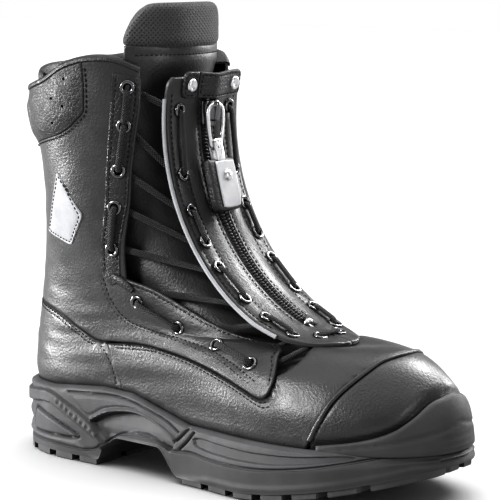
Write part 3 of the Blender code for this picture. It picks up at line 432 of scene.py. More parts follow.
def on_arc(phi, across, depth):
    """Places by the zip: degrees along its arc, metres to the inner side, metres in from the zip."""
    given = [np.atleast_1d(np.asarray(a, float)) for a in (phi, across, depth)]
    phi, across, depth = np.broadcast_arrays(*given)
    r = ZIP_R + depth + across * across / (2 * INSERT_CROWN)
    a = np.radians(phi)
    return np.stack([ZIP_X - r * np.cos(a), across, ZIP_Z + r * np.sin(a)], axis=1)


# ---------------------------------------------------------------- pattern surfaces

KEYS = np.arange(len(LAST), dtype=float)
RISE = np.concatenate([[0], np.cumsum(np.linalg.norm(np.diff(last_points(KEYS, -75.0), axis=0), axis=1))])
DEGREE = np.linalg.norm(last_points(KEYS, -73.0) - last_points(KEYS, -77.0), axis=1) / 4


class LastSkin:
    """The last's surface, with a flat pattern whose distances are about real."""

    def __init__(self, middle):
        self.middle = middle

    def flat(self, q):
        q = np.asarray(q, float)
        return np.stack([(q[:, 1] - self.middle) * np.interp(q[:, 0], KEYS, DEGREE),
                         np.interp(q[:, 0], KEYS, RISE)], axis=1)

    def pattern(self, p):
        v = np.interp(p[:, 1], RISE, KEYS)
        return np.stack([v, p[:, 0] / np.interp(v, KEYS, DEGREE) + self.middle], axis=1)

    def lift(self, q, out):
        return on_last(q[:, 0], q[:, 1], out)

    def normals(self, q):
        return last_normals(q[:, 0], q[:, 1])


class ArcSkin:
    """The zip insert's surface; out is towards the viewer."""

    def flat(self, q):
        q = np.asarray(q, float)
        return np.stack([q[:, 1], q[:, 0] * math.radians(ZIP_R)], axis=1)

    def pattern(self, p):
        return np.stack([p[:, 1] / math.radians(ZIP_R), p[:, 0]], axis=1)

    def lift(self, q, out):
        return on_arc(q[:, 0], q[:, 1], -np.asarray(out))

    def normals(self, q):
        return unit(on_arc(q[:, 0], q[:, 1], -MM) - on_arc(q[:, 0], q[:, 1], 0.0))


SIDE_SKIN = LastSkin(0.0)
FRONT_SKIN = LastSkin(180.0)
INSERT_SKIN = ArcSkin()


def smooth(points, per=6):
    rows = np.array(points, float)
    return through(rows, np.linspace(0, len(rows) - 1, per * (len(rows) - 1) + 1))


def joined(*lines):
    """One loop from open lines that share their end points."""
    return np.vstack([lines[0]] + [line[1:] for line in lines[1:]])


def mirrored(points):
    return np.array([(q[0], -q[1]) for q in points])


def through_front(points):
    return np.array([(q[0], q[1] % 360) for q in points])


def spaced(loop, step):
    """A loop with points about step apart, keeping its corners."""
    rows = []
    for a, b in zip(loop, np.roll(loop, -1, axis=0)):
        pieces = max(1, round(np.linalg.norm(b - a) / step))
        rows += [a + (b - a) * i / pieces for i in range(pieces)]
    return np.array(rows)


DIVIDED_UNDER = 15                  # outlines on the last, and short ones on the zip's arc, stay under this
DIVIDED_STEP, DIVIDED_MOST = 0.12, 12


def divided(loop):
    """A pattern outline with short edges, so that its straight runs stay straight when they are laid on."""
    if np.abs(loop[:, 0]).max() >= DIVIDED_UNDER:
        return np.array(loop)
    rows = []
    for a, b in zip(loop, np.roll(loop, -1, axis=0)):
        pieces = max(1, math.ceil(min(abs(b[0] - a[0]) / DIVIDED_STEP, DIVIDED_MOST)))
        rows += [a + (b - a) * i / pieces for i in range(pieces)]
    return np.array(rows)


def run_along(line):
    """The distance run along a line, at each of its points."""
    return np.concatenate([[0], np.cumsum(np.linalg.norm(np.diff(line, axis=0), axis=1))])


def even(line, step):
    """An open line resampled evenly."""
    run = run_along(line)
    at = np.linspace(0, run[-1], max(2, round(run[-1] / step) + 1))
    return np.stack([np.interp(at, run, line[:, k]) for k in range(line.shape[1])], axis=1)


def gap_to(points, starts, ends):
    """Shortest distance from each point to a set of straight edges."""
    best = np.full(len(points), 1e9)
    for a, b in zip(starts, ends):
        line = b - a
        t = np.clip(((points - a) @ line) / max(line @ line, 1e-18), 0, 1)
        best = np.minimum(best, np.linalg.norm(points - a - t[:, None] * line, axis=1))
    return best


def gap_to_loop(points, loop):
    return gap_to(points, loop, np.roll(loop, -1, axis=0))


def gap_to_lines(points, lines):
    return gap_to(points, np.vstack([line[:-1] for line in lines]), np.vstack([line[1:] for line in lines]))


def within(points, loop):
    hit = np.zeros(len(points), bool)
    for a, b in zip(loop, np.roll(loop, -1, axis=0)):
        if a[1] == b[1]:
            continue
        crosses = (a[1] > points[:, 1]) != (b[1] > points[:, 1])
        x = (b[0] - a[0]) * (points[:, 1] - a[1]) / (b[1] - a[1]) + a[0]
        hit ^= crosses & (points[:, 0] < x)
    return hit


def offset(line, amount, closed=True):
    """The line moved to its left by amount, in the flat."""
    if closed:
        way = np.roll(line, -1, axis=0) - np.roll(line, 1, axis=0)
    else:
        way = np.gradient(line, axis=0)
    way = unit(way)
    return line + np.stack([-way[:, 1], way[:, 0]], axis=1) * amount


def thinned(points, room):
    """Drops points that crowd an earlier one."""
    kept, taken = [], set()
    for p in points:
        cell = (round(p[0] / room), round(p[1] / room))
        if cell not in taken:
            taken.add(cell)
            kept.append(p)
    return kept


def add_mesh(name, verts, faces, material, uv=None, sharp=50.0):
    mesh = bpy.data.meshes.new(name)
    mesh.from_pydata([tuple(p) for p in verts], [], faces)
    work = bmesh.new()
    work.from_mesh(mesh)
    bmesh.ops.recalc_face_normals(work, faces=work.faces)
    work.to_mesh(mesh)
    work.free()
    if uv is not None:
        layer = mesh.uv_layers.new(name="UVMap")
        index = np.empty(len(mesh.loops), int)
        mesh.loops.foreach_get("vertex_index", index)
        layer.data.foreach_set("uv", np.asarray(uv, float)[index].ravel())
    mesh.shade_smooth()
    mesh.set_sharp_from_angle(angle=math.radians(sharp))
    mesh.materials.append(material)
    obj = bpy.data.objects.new(name, mesh)
    bpy.context.scene.collection.objects.link(obj)
    return obj


def settle(piece, body, replaces=()):
    """Puts a finished piece on its body, and hides the CAD nodes that it stands for."""
    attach(piece, body)
    if replaces:
        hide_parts(*replaces)


EDGE_RINGS = (0.3 * MM, 0.9 * MM, 2.0 * MM)
SEAM_SHIFTS = (-0.9 * MM, 0.0, 0.9 * MM)
SEAM_DEPTH, SEAM_WIDTH = 0.35 * MM, 0.8 * MM


def sheet_points(loops, starts, ends, lines, step):
    """Points inside a flat pattern: rings by its edges, rows by its seams, and an even field."""
    area = np.sum(loops[0][:, 0] * np.roll(loops[0][:, 1], -1) - loops[0][:, 1] * np.roll(loops[0][:, 0], -1))
    inward = 1.0 if area > 0 else -1.0
    near = []
    for distance in EDGE_RINGS:
        for count, loop in enumerate(loops):
            ring = offset(loop, distance * (inward if count == 0 else -inward))
            near.append(ring[(gap_to(ring, starts, ends) > 0.8 * distance) & within(ring, loops[0])])
    for line in lines:
        for shift in SEAM_SHIFTS:
            row = offset(line, shift, closed=False)
            near.append(row[(gap_to(row, starts, ends) > 0.7 * MM) & within(row, loops[0])])
    low, high = loops[0].min(axis=0), loops[0].max(axis=0)
    rows = []
    for count, y in enumerate(np.arange(low[1], high[1], step * 0.87)):
        x = np.arange(low[0] + (count % 2) * step / 2, high[0], step)
        rows.append(np.stack([x, np.full_like(x, y)], axis=1))
    field = np.vstack(rows)
    field = field[within(field, loops[0]) & (gap_to(field, starts, ends) > 2.6 * MM)]
    for hole in loops[1:]:
        field = field[~within(field, hole)]
    if lines:
        field = field[gap_to_lines(field, lines) > 1.8 * MM]
    return thinned(np.vstack(near + [field]), 0.45 * MM)


def sheet_net(loops, inner):
    """The flat pattern as (points, triangles), without its holes."""
    edges, count = [], 0
    for loop in loops:
        edges += [(count + i, count + (i + 1) % len(loop)) for i in range(len(loop))]
        count += len(loop)
    net = delaunay_2d_cdt([Vector(p) for p in list(np.vstack(loops)) + inner], edges, [], 0, 1e-7)
    flat = np.array([tuple(p) for p in net[0]])
    faces = np.array([tuple(f) for f in net[2] if len(f) == 3])
    middles = flat[faces].mean(axis=1)
    keep = within(middles, loops[0])
    for hole in loops[1:]:
        keep &= ~within(middles, hole)
    used, faces = np.unique(faces[keep], return_inverse=True)
    return flat[used], faces.reshape(-1, 3)


def sheet(name, skin, outline, layer, material, holes=(), seams=(), swell=None, step=3.0 * MM, roll=0.9 * MM,
          low_swell=True):
    """A leather piece: its outline and holes in pattern coordinates, with rolled edges and pressed seams."""
    loops = [spaced(skin.flat(divided(loop)), 1.6 * MM) for loop in [outline, *holes]]
    starts = np.vstack(loops)
    ends = np.vstack([np.roll(loop, -1, axis=0) for loop in loops])
    lines = [even(skin.flat(seam), 1.6 * MM) for seam in seams]
    flat, faces = sheet_net(loops, sheet_points(loops, starts, ends, lines, step))
    q = skin.pattern(flat)
    top = np.full(len(flat), layer[1])
    bottom = np.full(len(flat), layer[0])
    if swell is not None:
        extra = swell(q)
        top += extra
        bottom += extra if low_swell else 0.0
    thick = layer[1] - layer[0]
    radius = min(roll, 0.6 * thick)
    edge_gap = np.clip(gap_to(flat, starts, ends) / radius, 0, 1)
    top -= radius * (1 - np.sqrt(1 - (1 - edge_gap) ** 2)) * 0.85
    if lines:
        top -= SEAM_DEPTH * np.exp(-(gap_to_lines(flat, lines) / SEAM_WIDTH) ** 2)
    count = len(flat)
    verts = np.vstack([skin.lift(q, top), skin.lift(q, bottom)])
    upper = [tuple(int(i) for i in f) for f in faces]
    solid = upper + [tuple(i + count for i in f[::-1]) for f in upper]
    sides = {(a, b): True for f in upper for a, b in zip(f, f[1:] + f[:1])}
    solid += [(b, a, a + count, b + count) for a, b in sides if (b, a) not in sides]
    uv = np.vstack([flat, flat + thick * np.array([0.8, 0.6])]) / MM
    return add_mesh(name, verts, solid, material, uv)


BEAD_SINK = 0.25                    # how deep a stroke's middle line lies at its ends, in radii


def beads(name, strokes, normals, radius, material, rings=5, sides=6):
    """Short rounded strokes of thread or plastic: strokes is (n, 2, 3), each from end to end."""
    strokes = np.asarray(strokes)
    count = len(strokes)
    way = strokes[:, 1] - strokes[:, 0]
    length = np.linalg.norm(way, axis=1)[:, None]
    along = way / length
    across = unit(np.cross(normals, along))
    up = np.cross(along, across)
    verts = []
    for u in np.linspace(-1, 1, rings):
        fat = radius * (0.35 + 0.65 * math.sqrt(1 - min(abs(u), 0.999) ** 2))
        middle = (strokes[:, 0] + strokes[:, 1]) / 2 + along * length * u / 2
        middle = middle + up * radius * (0.6 * (1 - u * u) - BEAD_SINK)
        for side in range(sides):
            a = 2 * math.pi * side / sides
            verts.append(middle + (across * math.cos(a) + up * math.sin(a)) * fat)
    verts = np.stack(verts, axis=1)
    faces = []
    for one in range(count):
        base = one * rings * sides
        for ring in range(rings - 1):
            for side in range(sides):
                a, b = base + ring * sides + side, base + ring * sides + (side + 1) % sides
                faces.append((a, b, b + sides, a + sides))
        faces.append(tuple(base + s for s in reversed(range(sides))))
        faces.append(tuple(base + (rings - 1) * sides + s for s in range(sides)))
    return add_mesh(name, verts.reshape(-1, 3), faces, material)


STITCH_PITCH, STITCH_LENGTH, STITCH_R = 3.0 * MM, 2.1 * MM, 0.40 * MM


def stitched(name, skin, rows, body="boot", swell=None):
    """Rows of thread along pattern lines; each row is (line, height off the skin)."""
    strokes, ups = [], []
    for line, out in rows:
        q = skin.pattern(even(skin.flat(line), 0.5 * MM))
        lifted = np.full(len(q), out - 0.3 * MM)
        if swell is not None:
            lifted += swell(q)
        path, normal = skin.lift(q, lifted), skin.normals(q)
        run = run_along(path)
        for start in np.arange(STITCH_PITCH / 2, run[-1] - STITCH_LENGTH, STITCH_PITCH):
            ends = [[np.interp(s, run, path[:, k]) for k in range(3)] for s in (start, start + STITCH_LENGTH)]
            strokes.append(ends)
            ups.append([np.interp(start, run, normal[:, k]) for k in range(3)])
    piece = beads(name, np.array(strokes), np.array(ups), STITCH_R, THREAD)
    settle(piece, body)


def rounded(corners, radius, margin=0.0):
    """A loop on the last with round corners, from its sharp corners, moved in by a margin."""
    flat = SIDE_SKIN.flat(corners)
    middle = flat.mean(axis=0)
    flat = flat + (middle - flat) / np.linalg.norm(middle - flat, axis=1, keepdims=True) * margin * 1.4
    rows = []
    for before, at, after in zip(np.roll(flat, 1, axis=0), flat, np.roll(flat, -1, axis=0)):
        start, end = at + unit(before - at) * radius, at + unit(after - at) * radius
        for t in np.linspace(0, 1, 6):
            rows.append(start * (1 - t) ** 2 + at * 2 * t * (1 - t) + end * t ** 2)
    return SIDE_SKIN.pattern(np.array(rows))


def inset(skin, line, distance, drop):
    """A seam line: the given edge moved in by a distance, without its first and last few points."""
    moved = offset(even(skin.flat(line), 1.5 * MM), distance, closed=False)
    return skin.pattern(moved[drop:-drop])


def sweep(name, path, normals, section, material, closed=False, taper=None):
    """A solid along a path: section is (across, out) points, in metres."""
    path, normals = np.asarray(path), np.asarray(normals)
    if closed:
        way = unit(np.roll(path, -1, axis=0) - np.roll(path, 1, axis=0))
    else:
        way = unit(np.gradient(path, axis=0))
    across = unit(np.cross(normals, way))
    out = np.cross(way, across)
    size = np.ones(len(path)) if taper is None else taper
    k = len(section)
    verts, uv = [], []
    run, round_it = run_along(path), run_along(np.array(section))
    for i in range(len(path)):
        for j, (w, h) in enumerate(section):
            verts.append(path[i] + (across[i] * w + out[i] * h) * size[i])
            uv.append((round_it[j] / MM, run[i] / MM))
    faces = []
    for i in range(len(path) if closed else len(path) - 1):
        for j in range(k):
            a, b = i * k + j, i * k + (j + 1) % k
            c = ((i + 1) % len(path)) * k
            faces.append((a, b, c + (j + 1) % k, c + j))
    if not closed:
        faces.append(tuple(reversed(range(k))))
        faces.append(tuple((len(path) - 1) * k + j for j in range(k)))
    return add_mesh(name, verts, faces, material, uv)


def oval(wide, high, sides=12):
    """A section from its half width and half height in mm."""
    turns = [2 * math.pi * i / sides for i in range(sides)]
    return [(wide * MM * math.cos(turn), high * MM * math.sin(turn)) for turn in turns]


def along_last(line, out=0.0):
    """The path and normals that sweep asks for, from a line on the last."""
    return on_last(line[:, 0], line[:, 1], out), last_normals(line[:, 0], line[:, 1])


LATHE_SIDES = 28
LATHE_START = Vector((0.1, 0.2, 1))     # any direction that isn't a turned piece's own axis


def lathe(name, profile, origin, normal, material):
    """A turned piece from a (radius, height) profile in mm; one that starts off the axis is a ring."""
    n = Vector(normal).normalized()
    u = (LATHE_START - n * LATHE_START.dot(n)).normalized()
    w = u.cross(n)
    profile = [(r * MM, h * MM) for r, h in profile]
    ring = profile[0][0] > 0
    body = profile if ring else profile[1:-1]
    k = len(body)
    verts, faces, sides = [], [], LATHE_SIDES
    for i in range(sides):
        t = 2 * math.pi * i / sides
        verts += [Vector(origin) + n * h + (u * math.cos(t) + w * math.sin(t)) * r for r, h in body]
    for i in range(sides):
        a, b = i * k, ((i + 1) % sides) * k
        faces += [(a + j, b + j, b + (j + 1) % k, a + (j + 1) % k) for j in range(k if ring else k - 1)]
    if not ring:
        top = len(verts)
        verts += [Vector(origin) + n * profile[0][1], Vector(origin) + n * profile[-1][1]]
        for i in range(sides):
            a, b = i * k, ((i + 1) % sides) * k
            faces += [(top, b, a), (top + 1, a + k - 1, b + k - 1)]
    return add_mesh(name, verts, faces, material, sharp=60)


# ---------------------------------------------------------------- outlines, as in the CAD

COLLAR = [(12.35, 0), (12.42, -40), (12.6, -73), (12.86, -91), (13.0, -106), (13.0, -124), (12.8, -139)]
THROAT = [(12.8, -139), (12.2, -138.5), (11.4, -134), (10.5, -128), (9.6, -121.5), (8.4, -108), (7.35, -98)]
WING_TOP = [(7.35, -98), (7.1, -112), (6.3, -125), (5.5, -132), (4.6, -130.4), (3.9, -126.4), (3.35, -122.8),
            (2.75, -120.3), (2.15, -118.4), (1.7, -116.2)]
WING_LOW = [(1.7, -116.2), (1.47, -114.2), (1.46, -112), (1.66, -109), (2.0, -104.2), (2.54, -96),
            (3.0, -87.6), (3.3, -78), (3.15, -64)]
COUNTER_TOP = [(3.15, -64), (3.3, -60.5), (4.0, -54.7), (4.75, -45), (5.05, -25), (5.15, 0)]
EYELETS = [(12.45, -131), (11.6, -126.8), (10.47, -119.5), (9.52, -111.8), (8.3, -100.5),
           (6.5, -96), (5.5, -105), (3.75, -105), (2.75, -112.5)]
ON_EYESTAY = 5                      # this many of the eyelets sit on the eyestay, the rest on the wing
INSERT_EYELETS = [(3, 23), (-14, 24), (-24, 25), (-33, 25), (-41, 25), (-52, 24), (-60, 23), (-68.5, 21)]
INSERT_END = (-73.5, 9)
WING_LACE = {7: [(4.75, -130)], 6: [(6.05, -128)], 5: [(7.05, -112)]}
VAMP_BACK = [(3.0, -65.8), (3.3, -78), (3.15, -88), (2.75, -97), (2.2, -105), (1.95, -113), (2.4, -121),
             (3.1, -129), (4.1, -139), (5.3, -160), (5.45, -180)]
TOE_SEAM = [(0.0, -124.5), (0.9, -129), (1.65, -135), (2.4, -145), (3.06, -158), (3.32, -170), (3.38, -180)]
GUARD_TOP = [(0.24, -128), (0.45, -141), (0.7, -150.6), (1.02, -158), (1.45, -168), (1.6, -180)]
INSERT_TOP, INSERT_BOTTOM = 12, -81
INSERT_HALF = 32 * MM
SIDES = (("outer", -1), ("inner", 1))

UNDER = (-2.6 * MM, -0.9 * MM)
QUARTER = (0.1 * MM, 1.9 * MM)
OVERLAY = (1.6 * MM, 2.7 * MM)


def on_side(points, sign):
    return np.array(points, float) if sign < 0 else mirrored(points)


def ease(x):
    x = np.clip(x, 0.0, 1.0)
    return x * x * (3 - 2 * x)


RIM = [(0, 0.5), (20, 0.5), (40, 0.55), (62, 0.8), (72, 0.75), (80, 0.45), (90, 0.12), (126, 0.12),
       (180, 0.1)]


def rim_v(angle):
    away = np.abs((np.asarray(angle) + 180) % 360 - 180)
    return np.interp(away, [r[0] for r in RIM], [r[1] for r in RIM])


def ripple(q, height, across=0.9, along=11.0):
    """Soft unevenness of a lasted leather."""
    return height * (np.sin(q[:, 0] * 2 * math.pi * across + np.sin(q[:, 1] / along) * 1.5)
                     * np.sin(q[:, 1] * 2 * math.pi / (along * 4.5) + q[:, 0] * 1.3))


HOLE_SIDES = 20


def hole_on_last(v, angle, radius, sides=HOLE_SIDES):
    by_v = (last_points(v + 0.05, angle) - last_points(v - 0.05, angle))[0] / 0.1
    by_angle = (last_points(v, angle + 0.5) - last_points(v, angle - 0.5))[0]
    normal = last_normals(v, angle)[0]
    up = unit(by_v)
    across = np.cross(normal, up)
    rows = []
    for t in np.linspace(0, 2 * math.pi, sides, endpoint=False):
        target = (up * math.sin(t) + across * math.cos(t)) * radius
        step = np.linalg.lstsq(np.array([by_v, by_angle]).T, target, rcond=None)[0]
        rows.append((v + step[0], angle + step[1]))
    return np.array(rows)


def hole_on_insert(phi, across, radius):
    arc = math.radians(ZIP_R)
    turns = np.linspace(0, 2 * math.pi, HOLE_SIDES, endpoint=False)
    return np.stack([phi + radius * np.sin(turns) / arc, across + radius * np.cos(turns)], axis=1)


# ---------------------------------------------------------------- the leather upper

def quarter_swell(q):
    return ripple(q, 0.12 * MM)


QUARTER_OUTLINE = joined(*[smooth(line) for line in (COLLAR, THROAT, WING_TOP, WING_LOW, COUNTER_TOP)])
QUARTER_LOOPS = [on_side(QUARTER_OUTLINE, sign) for _, sign in SIDES]
EYESTAY_FOOT = [(7.3, -84.5), (6.3, -81.5), (5.3, -82.5), (4.75, -87), (4.1, -94.5), (3.3, -102),
                (2.5, -108.5), (1.95, -113.5)]
BACK_SEAM = -0.35                   # half the gap between the quarters at the heel, in degrees
EYELET_HOLE = 3.0 * MM


def build_quarters():
    loop = QUARTER_OUTLINE.copy()
    loop[:, 1] = np.minimum(loop[:, 1], BACK_SEAM)
    for side, sign in SIDES:
        wing = inset(SIDE_SKIN, on_side(smooth(WING_TOP), sign), -sign * 2.4 * MM, drop=3)
        foot = on_side(smooth(EYESTAY_FOOT), sign)
        foot_two = inset(SIDE_SKIN, foot, -sign * 2.2 * MM, drop=2)
        holes = [hole_on_last(v, -sign * a, EYELET_HOLE) for v, a in EYELETS]
        piece = sheet("quarter_" + side + "_leather", SIDE_SKIN, on_side(loop, sign), QUARTER, LEATHER, holes,
                      [wing, foot], swell=quarter_swell)
        settle(piece, "boot", ["quarter_" + side])
        stitched("quarter_" + side + "_stitches", SIDE_SKIN,
                 [(line, QUARTER[1]) for line in (wing, foot, foot_two)], swell=quarter_swell)


FULL = 3.0 * MM                     # how far the lower leathers rise beside the quarter's edge
RISE_BY_QUARTER, RISE_BY_GUARD = 1.3 * MM, 4.0 * MM     # over what width they rise


def beside_quarter(skin, q):
    """0 under the quarters, rising to 1 outside their edge."""
    flat = skin.flat(q)
    away = np.full(len(q), 1e9)
    under = np.zeros(len(q), bool)
    for loop in QUARTER_LOOPS:
        turned = np.array([(v, a % 360) for v, a in loop]) if skin is FRONT_SKIN else loop
        edge = skin.flat(turned)
        under |= within(flat, edge)
        away = np.minimum(away, gap_to_loop(flat, edge))
    return np.where(under, 0.0, ease((away - 0.3 * MM) / RISE_BY_QUARTER))


def rim_fade(q):
    return 0.35 + 0.65 * ease((q[:, 0] - rim_v(q[:, 1]) + 0.04) / 0.14)


GUARD_EDGE = smooth(GUARD_TOP[:-1] + [(1.6, -179.9)])
GUARD_LOOP = np.vstack([joined(through_front(GUARD_EDGE), through_front(mirrored(GUARD_EDGE))[::-1]),
                        [(-0.3, 128.0), (-0.3, 232.0)]])


def beside_guard(q):
    flat, edge = FRONT_SKIN.flat(q), FRONT_SKIN.flat(GUARD_LOOP)
    away = gap_to_loop(flat, edge)
    return np.where(within(flat, edge), 0.0, ease((away - 0.2 * MM) / RISE_BY_GUARD))


def vamp_swell(q):
    creases = sum(0.35 * MM * np.exp(-((q[:, 0] - v - 0.004 * (q[:, 1] - 180) * s) / 0.09) ** 2)
                  * np.exp(-((np.abs(q[:, 1] - 180) - 38) / 22) ** 2)
                  for v, s in ((2.25, 1.0), (2.75, -0.6), (3.3, 0.4)))
    return FULL * beside_quarter(FRONT_SKIN, q) * rim_fade(q) - creases + ripple(q, 0.3 * MM, 0.7, 16.0)


def toe_swell(q):
    return FULL * 0.85 * beside_guard(q) * rim_fade(q)


def heel_swell(q):
    return FULL * beside_quarter(SIDE_SKIN, q) * rim_fade(q) + ripple(q, 0.2 * MM)


def build_vamp():
    outer_back = through_front(smooth(VAMP_BACK, 5))
    inner_back = through_front(smooth(mirrored(VAMP_BACK), 5))
    outer_seam = through_front(smooth(TOE_SEAM, 5))
    inner_seam = through_front(smooth(mirrored(TOE_SEAM), 5))
    foot = np.array([(0.0, a) for a in (77.0, 89.0, 101.0, 113.0)])
    outline = np.vstack([[(0.0, 294.2)], outer_back, inner_back[::-1][1:], [(0.0, 65.8)], foot, inner_seam,
                         outer_seam[::-1][1:], [(0.0, 360 - a) for _, a in foot[::-1]]])
    seams = []
    for sign in (-1, 1):
        low = through_front(on_side(smooth(WING_LOW), sign))
        low = FRONT_SKIN.pattern(even(FRONT_SKIN.flat(low), 1.5 * MM))
        seams += [inset(FRONT_SKIN, low, sign * distance, drop=3) for distance in (1.9 * MM, 3.9 * MM)]
    piece = sheet("vamp_leather", FRONT_SKIN, outline, UNDER, LEATHER, seams=seams, swell=vamp_swell,
                  low_swell=False)
    settle(piece, "boot", ["vamp"])
    stitched("vamp_stitches", FRONT_SKIN, [(line, UNDER[1]) for line in seams], swell=vamp_swell)
    front = np.vstack([outer_seam, inner_seam[::-1][1:]])
    toe = np.stack([np.maximum(front[:, 0] - 0.045, 0.0), 180 + (front[:, 1] - 180) * 0.985], axis=1)
    bottom = [(0.0, a) for a in np.linspace(toe[-1][1], toe[0][1], 21)[1:-1]]
    piece = sheet("toe_cap_leather", FRONT_SKIN, np.vstack([toe, bottom]), UNDER, LEATHER, swell=toe_swell,
                  step=2.0 * MM, low_swell=False)
    settle(piece, "boot", ["toe_leather"])
    line = FRONT_SKIN.pattern(even(FRONT_SKIN.flat(front[2:-2]), 1.5 * MM))
    height = UNDER[1] + FULL * 0.92 * rim_fade(line) * np.minimum(beside_guard(line) + 0.3, 1.0)
    settle(sweep("toe_rib", *along_last(line, height), oval(1.3, 1.0), LEATHER), "boot")


def guard_swell(q):
    """A swell towards the sole, a fine crease over the dome, and three short slits at the tip."""
    away = np.abs(q[:, 1] - 180)
    low = ease((0.9 - q[:, 0]) / 0.9)
    crease = np.exp(-((q[:, 0] - 0.80 + away * 0.0125) / 0.045) ** 2) * ease((54 - away) / 10)
    slits = sum(np.exp(-((q[:, 0] - v) / 0.03) ** 2) for v in (0.42, 0.24, 0.08)) * ease((13 - away) / 4)
    return 1.2 * MM * low * ease((48 - away) / 20) - 0.7 * MM * crease - 0.6 * MM * slits


def build_toe_guard():
    low = [(0.03, a) for a in (-128, -135, -141, -151, -160, -170, -178)]
    top = through_front(GUARD_EDGE)
    under = np.vstack([through_front(mirrored(low)), through_front(low)[::-1]])
    outline = np.vstack([top, through_front(mirrored(smooth(GUARD_TOP[:-1] + [(1.6, -179.0)])))[::-1], under])
    piece = sheet("toe_guard_rubber", FRONT_SKIN, outline, (0.4 * MM, 3.2 * MM), RUBBER, swell=guard_swell,
                  step=1.2 * MM, roll=1.6 * MM)
    settle(piece, "boot", ["toe_guard"])


def build_heel():
    lift = [(q[0] + 0.3, q[1]) for q in COUNTER_TOP[1:-1]] + [(5.45, -1.0)]
    top = smooth([(3.35, -65)] + lift, 5)
    bow = smooth([(2.4, -66.4), (1.6, -67.8), (0.8, -68.2), (0.0, -67.6)], 4)
    foot = [(0.0, a) for a in (52, 35, 20, 0, -20, -35, -52)]
    outline = np.vstack([top, mirrored(top)[::-1], mirrored(bow), foot, bow[::-1]])
    edge = np.vstack([smooth(COUNTER_TOP), mirrored(smooth(COUNTER_TOP))[::-1][1:]])
    seams = [inset(SIDE_SKIN, edge, -distance, drop=3) for distance in (2.0 * MM, 4.0 * MM)]
    front = smooth([(0.75, -66.2), (1.6, -65.8), (2.4, -64.4), (3.0, -61.8)], 4)
    seams += [front, mirrored(front)]
    piece = sheet("heel_cover_leather", SIDE_SKIN, outline, UNDER, LEATHER, seams=seams, swell=heel_swell,
                  low_swell=False)
    settle(piece, "boot", ["heel_cover"])
    stitched("heel_stitches", SIDE_SKIN, [(line, UNDER[1]) for line in seams], swell=heel_swell)

    stay = np.array([(v, 6.5) for v in np.arange(5.5, 10.6, 0.4)])
    outline = np.vstack([stay, mirrored(stay)[::-1]])
    seams = [np.array([(v, side * 4.6) for v in np.arange(5.7, 10.4, 0.4)]) for side in (-1, 1)]
    piece = sheet("back_stay_leather", SIDE_SKIN, outline, (2.6 * MM, 4.2 * MM), SOFT, seams=seams)
    settle(piece, "boot", ["back_stay"])
    stitched("back_stay_stitches", SIDE_SKIN, [(line, 4.2 * MM) for line in seams])


VENTS = [(12.62, -93), (12.25, -82), (12.1, -90), (11.72, -79)]
PANEL_FRONT = 106


def panel_swell(q):
    """A thin pad whose edges lie flush, fuller over the heel cord."""
    away = np.abs(q[:, 1])
    floor = np.interp(away, [0, 30, 66, 80, 90, 97, 103], [11.0, 11.05, 11.27, 11.39, 11.56, 11.77, 11.95])
    roof = rim_height(q[:, 1]) - 0.12
    edge = ease((PANEL_FRONT - away) / 14) * ease((q[:, 0] - floor) / 0.35) * ease((roof - q[:, 0]) / 0.25)
    return quarter_swell(q) + (1.4 * MM + 0.5 * MM * ease((52 - away) / 40)) * edge


def rim_height(angle):
    """The collar edge's v at an angle."""
    rows = sorted((abs(a), v) for v, a in COLLAR)
    return np.interp(np.abs(angle), [r[0] for r in rows], [r[1] for r in rows])


def build_back_pads():
    """The smooth pad over the heel cord, and the padding that stands above the rim inside the back."""
    side = [(10.95, 0), (10.98, -20), (11.12, -38), (11.35, -46), (11.8, -49), (12.2, -47), (12.32, -42),
            (12.27, -20), (12.25, 0)]
    half = smooth(side, 5)
    outline = np.vstack([half, mirrored(half)[::-1][1:-1]])
    edge = SIDE_SKIN.flat(outline)

    def crown(q):
        inside = gap_to_loop(SIDE_SKIN.flat(q), edge)
        return panel_swell(q) + 1.2 * MM * ease(inside / (11 * MM))

    pad = sheet("heel_cord_pad", SIDE_SKIN, outline, (1.8 * MM, 2.9 * MM), SOFT, swell=crown, low_swell=False)
    settle(pad, "boot")
    angles = np.linspace(-58, 108, 70)
    line = np.stack([rim_height(angles) + 0.02, angles], axis=1)
    fat = np.sin(np.linspace(0.12, math.pi - 0.12, len(line))) ** 0.6
    path, normals = along_last(line, -6.0 * MM)
    path += np.outer(fat, (0, 0, 6.5 * MM))
    roll = sweep("collar_back_roll", path, normals, oval(9.0, 4.6, 16), SOFT, taper=fat)
    settle(roll, "boot")


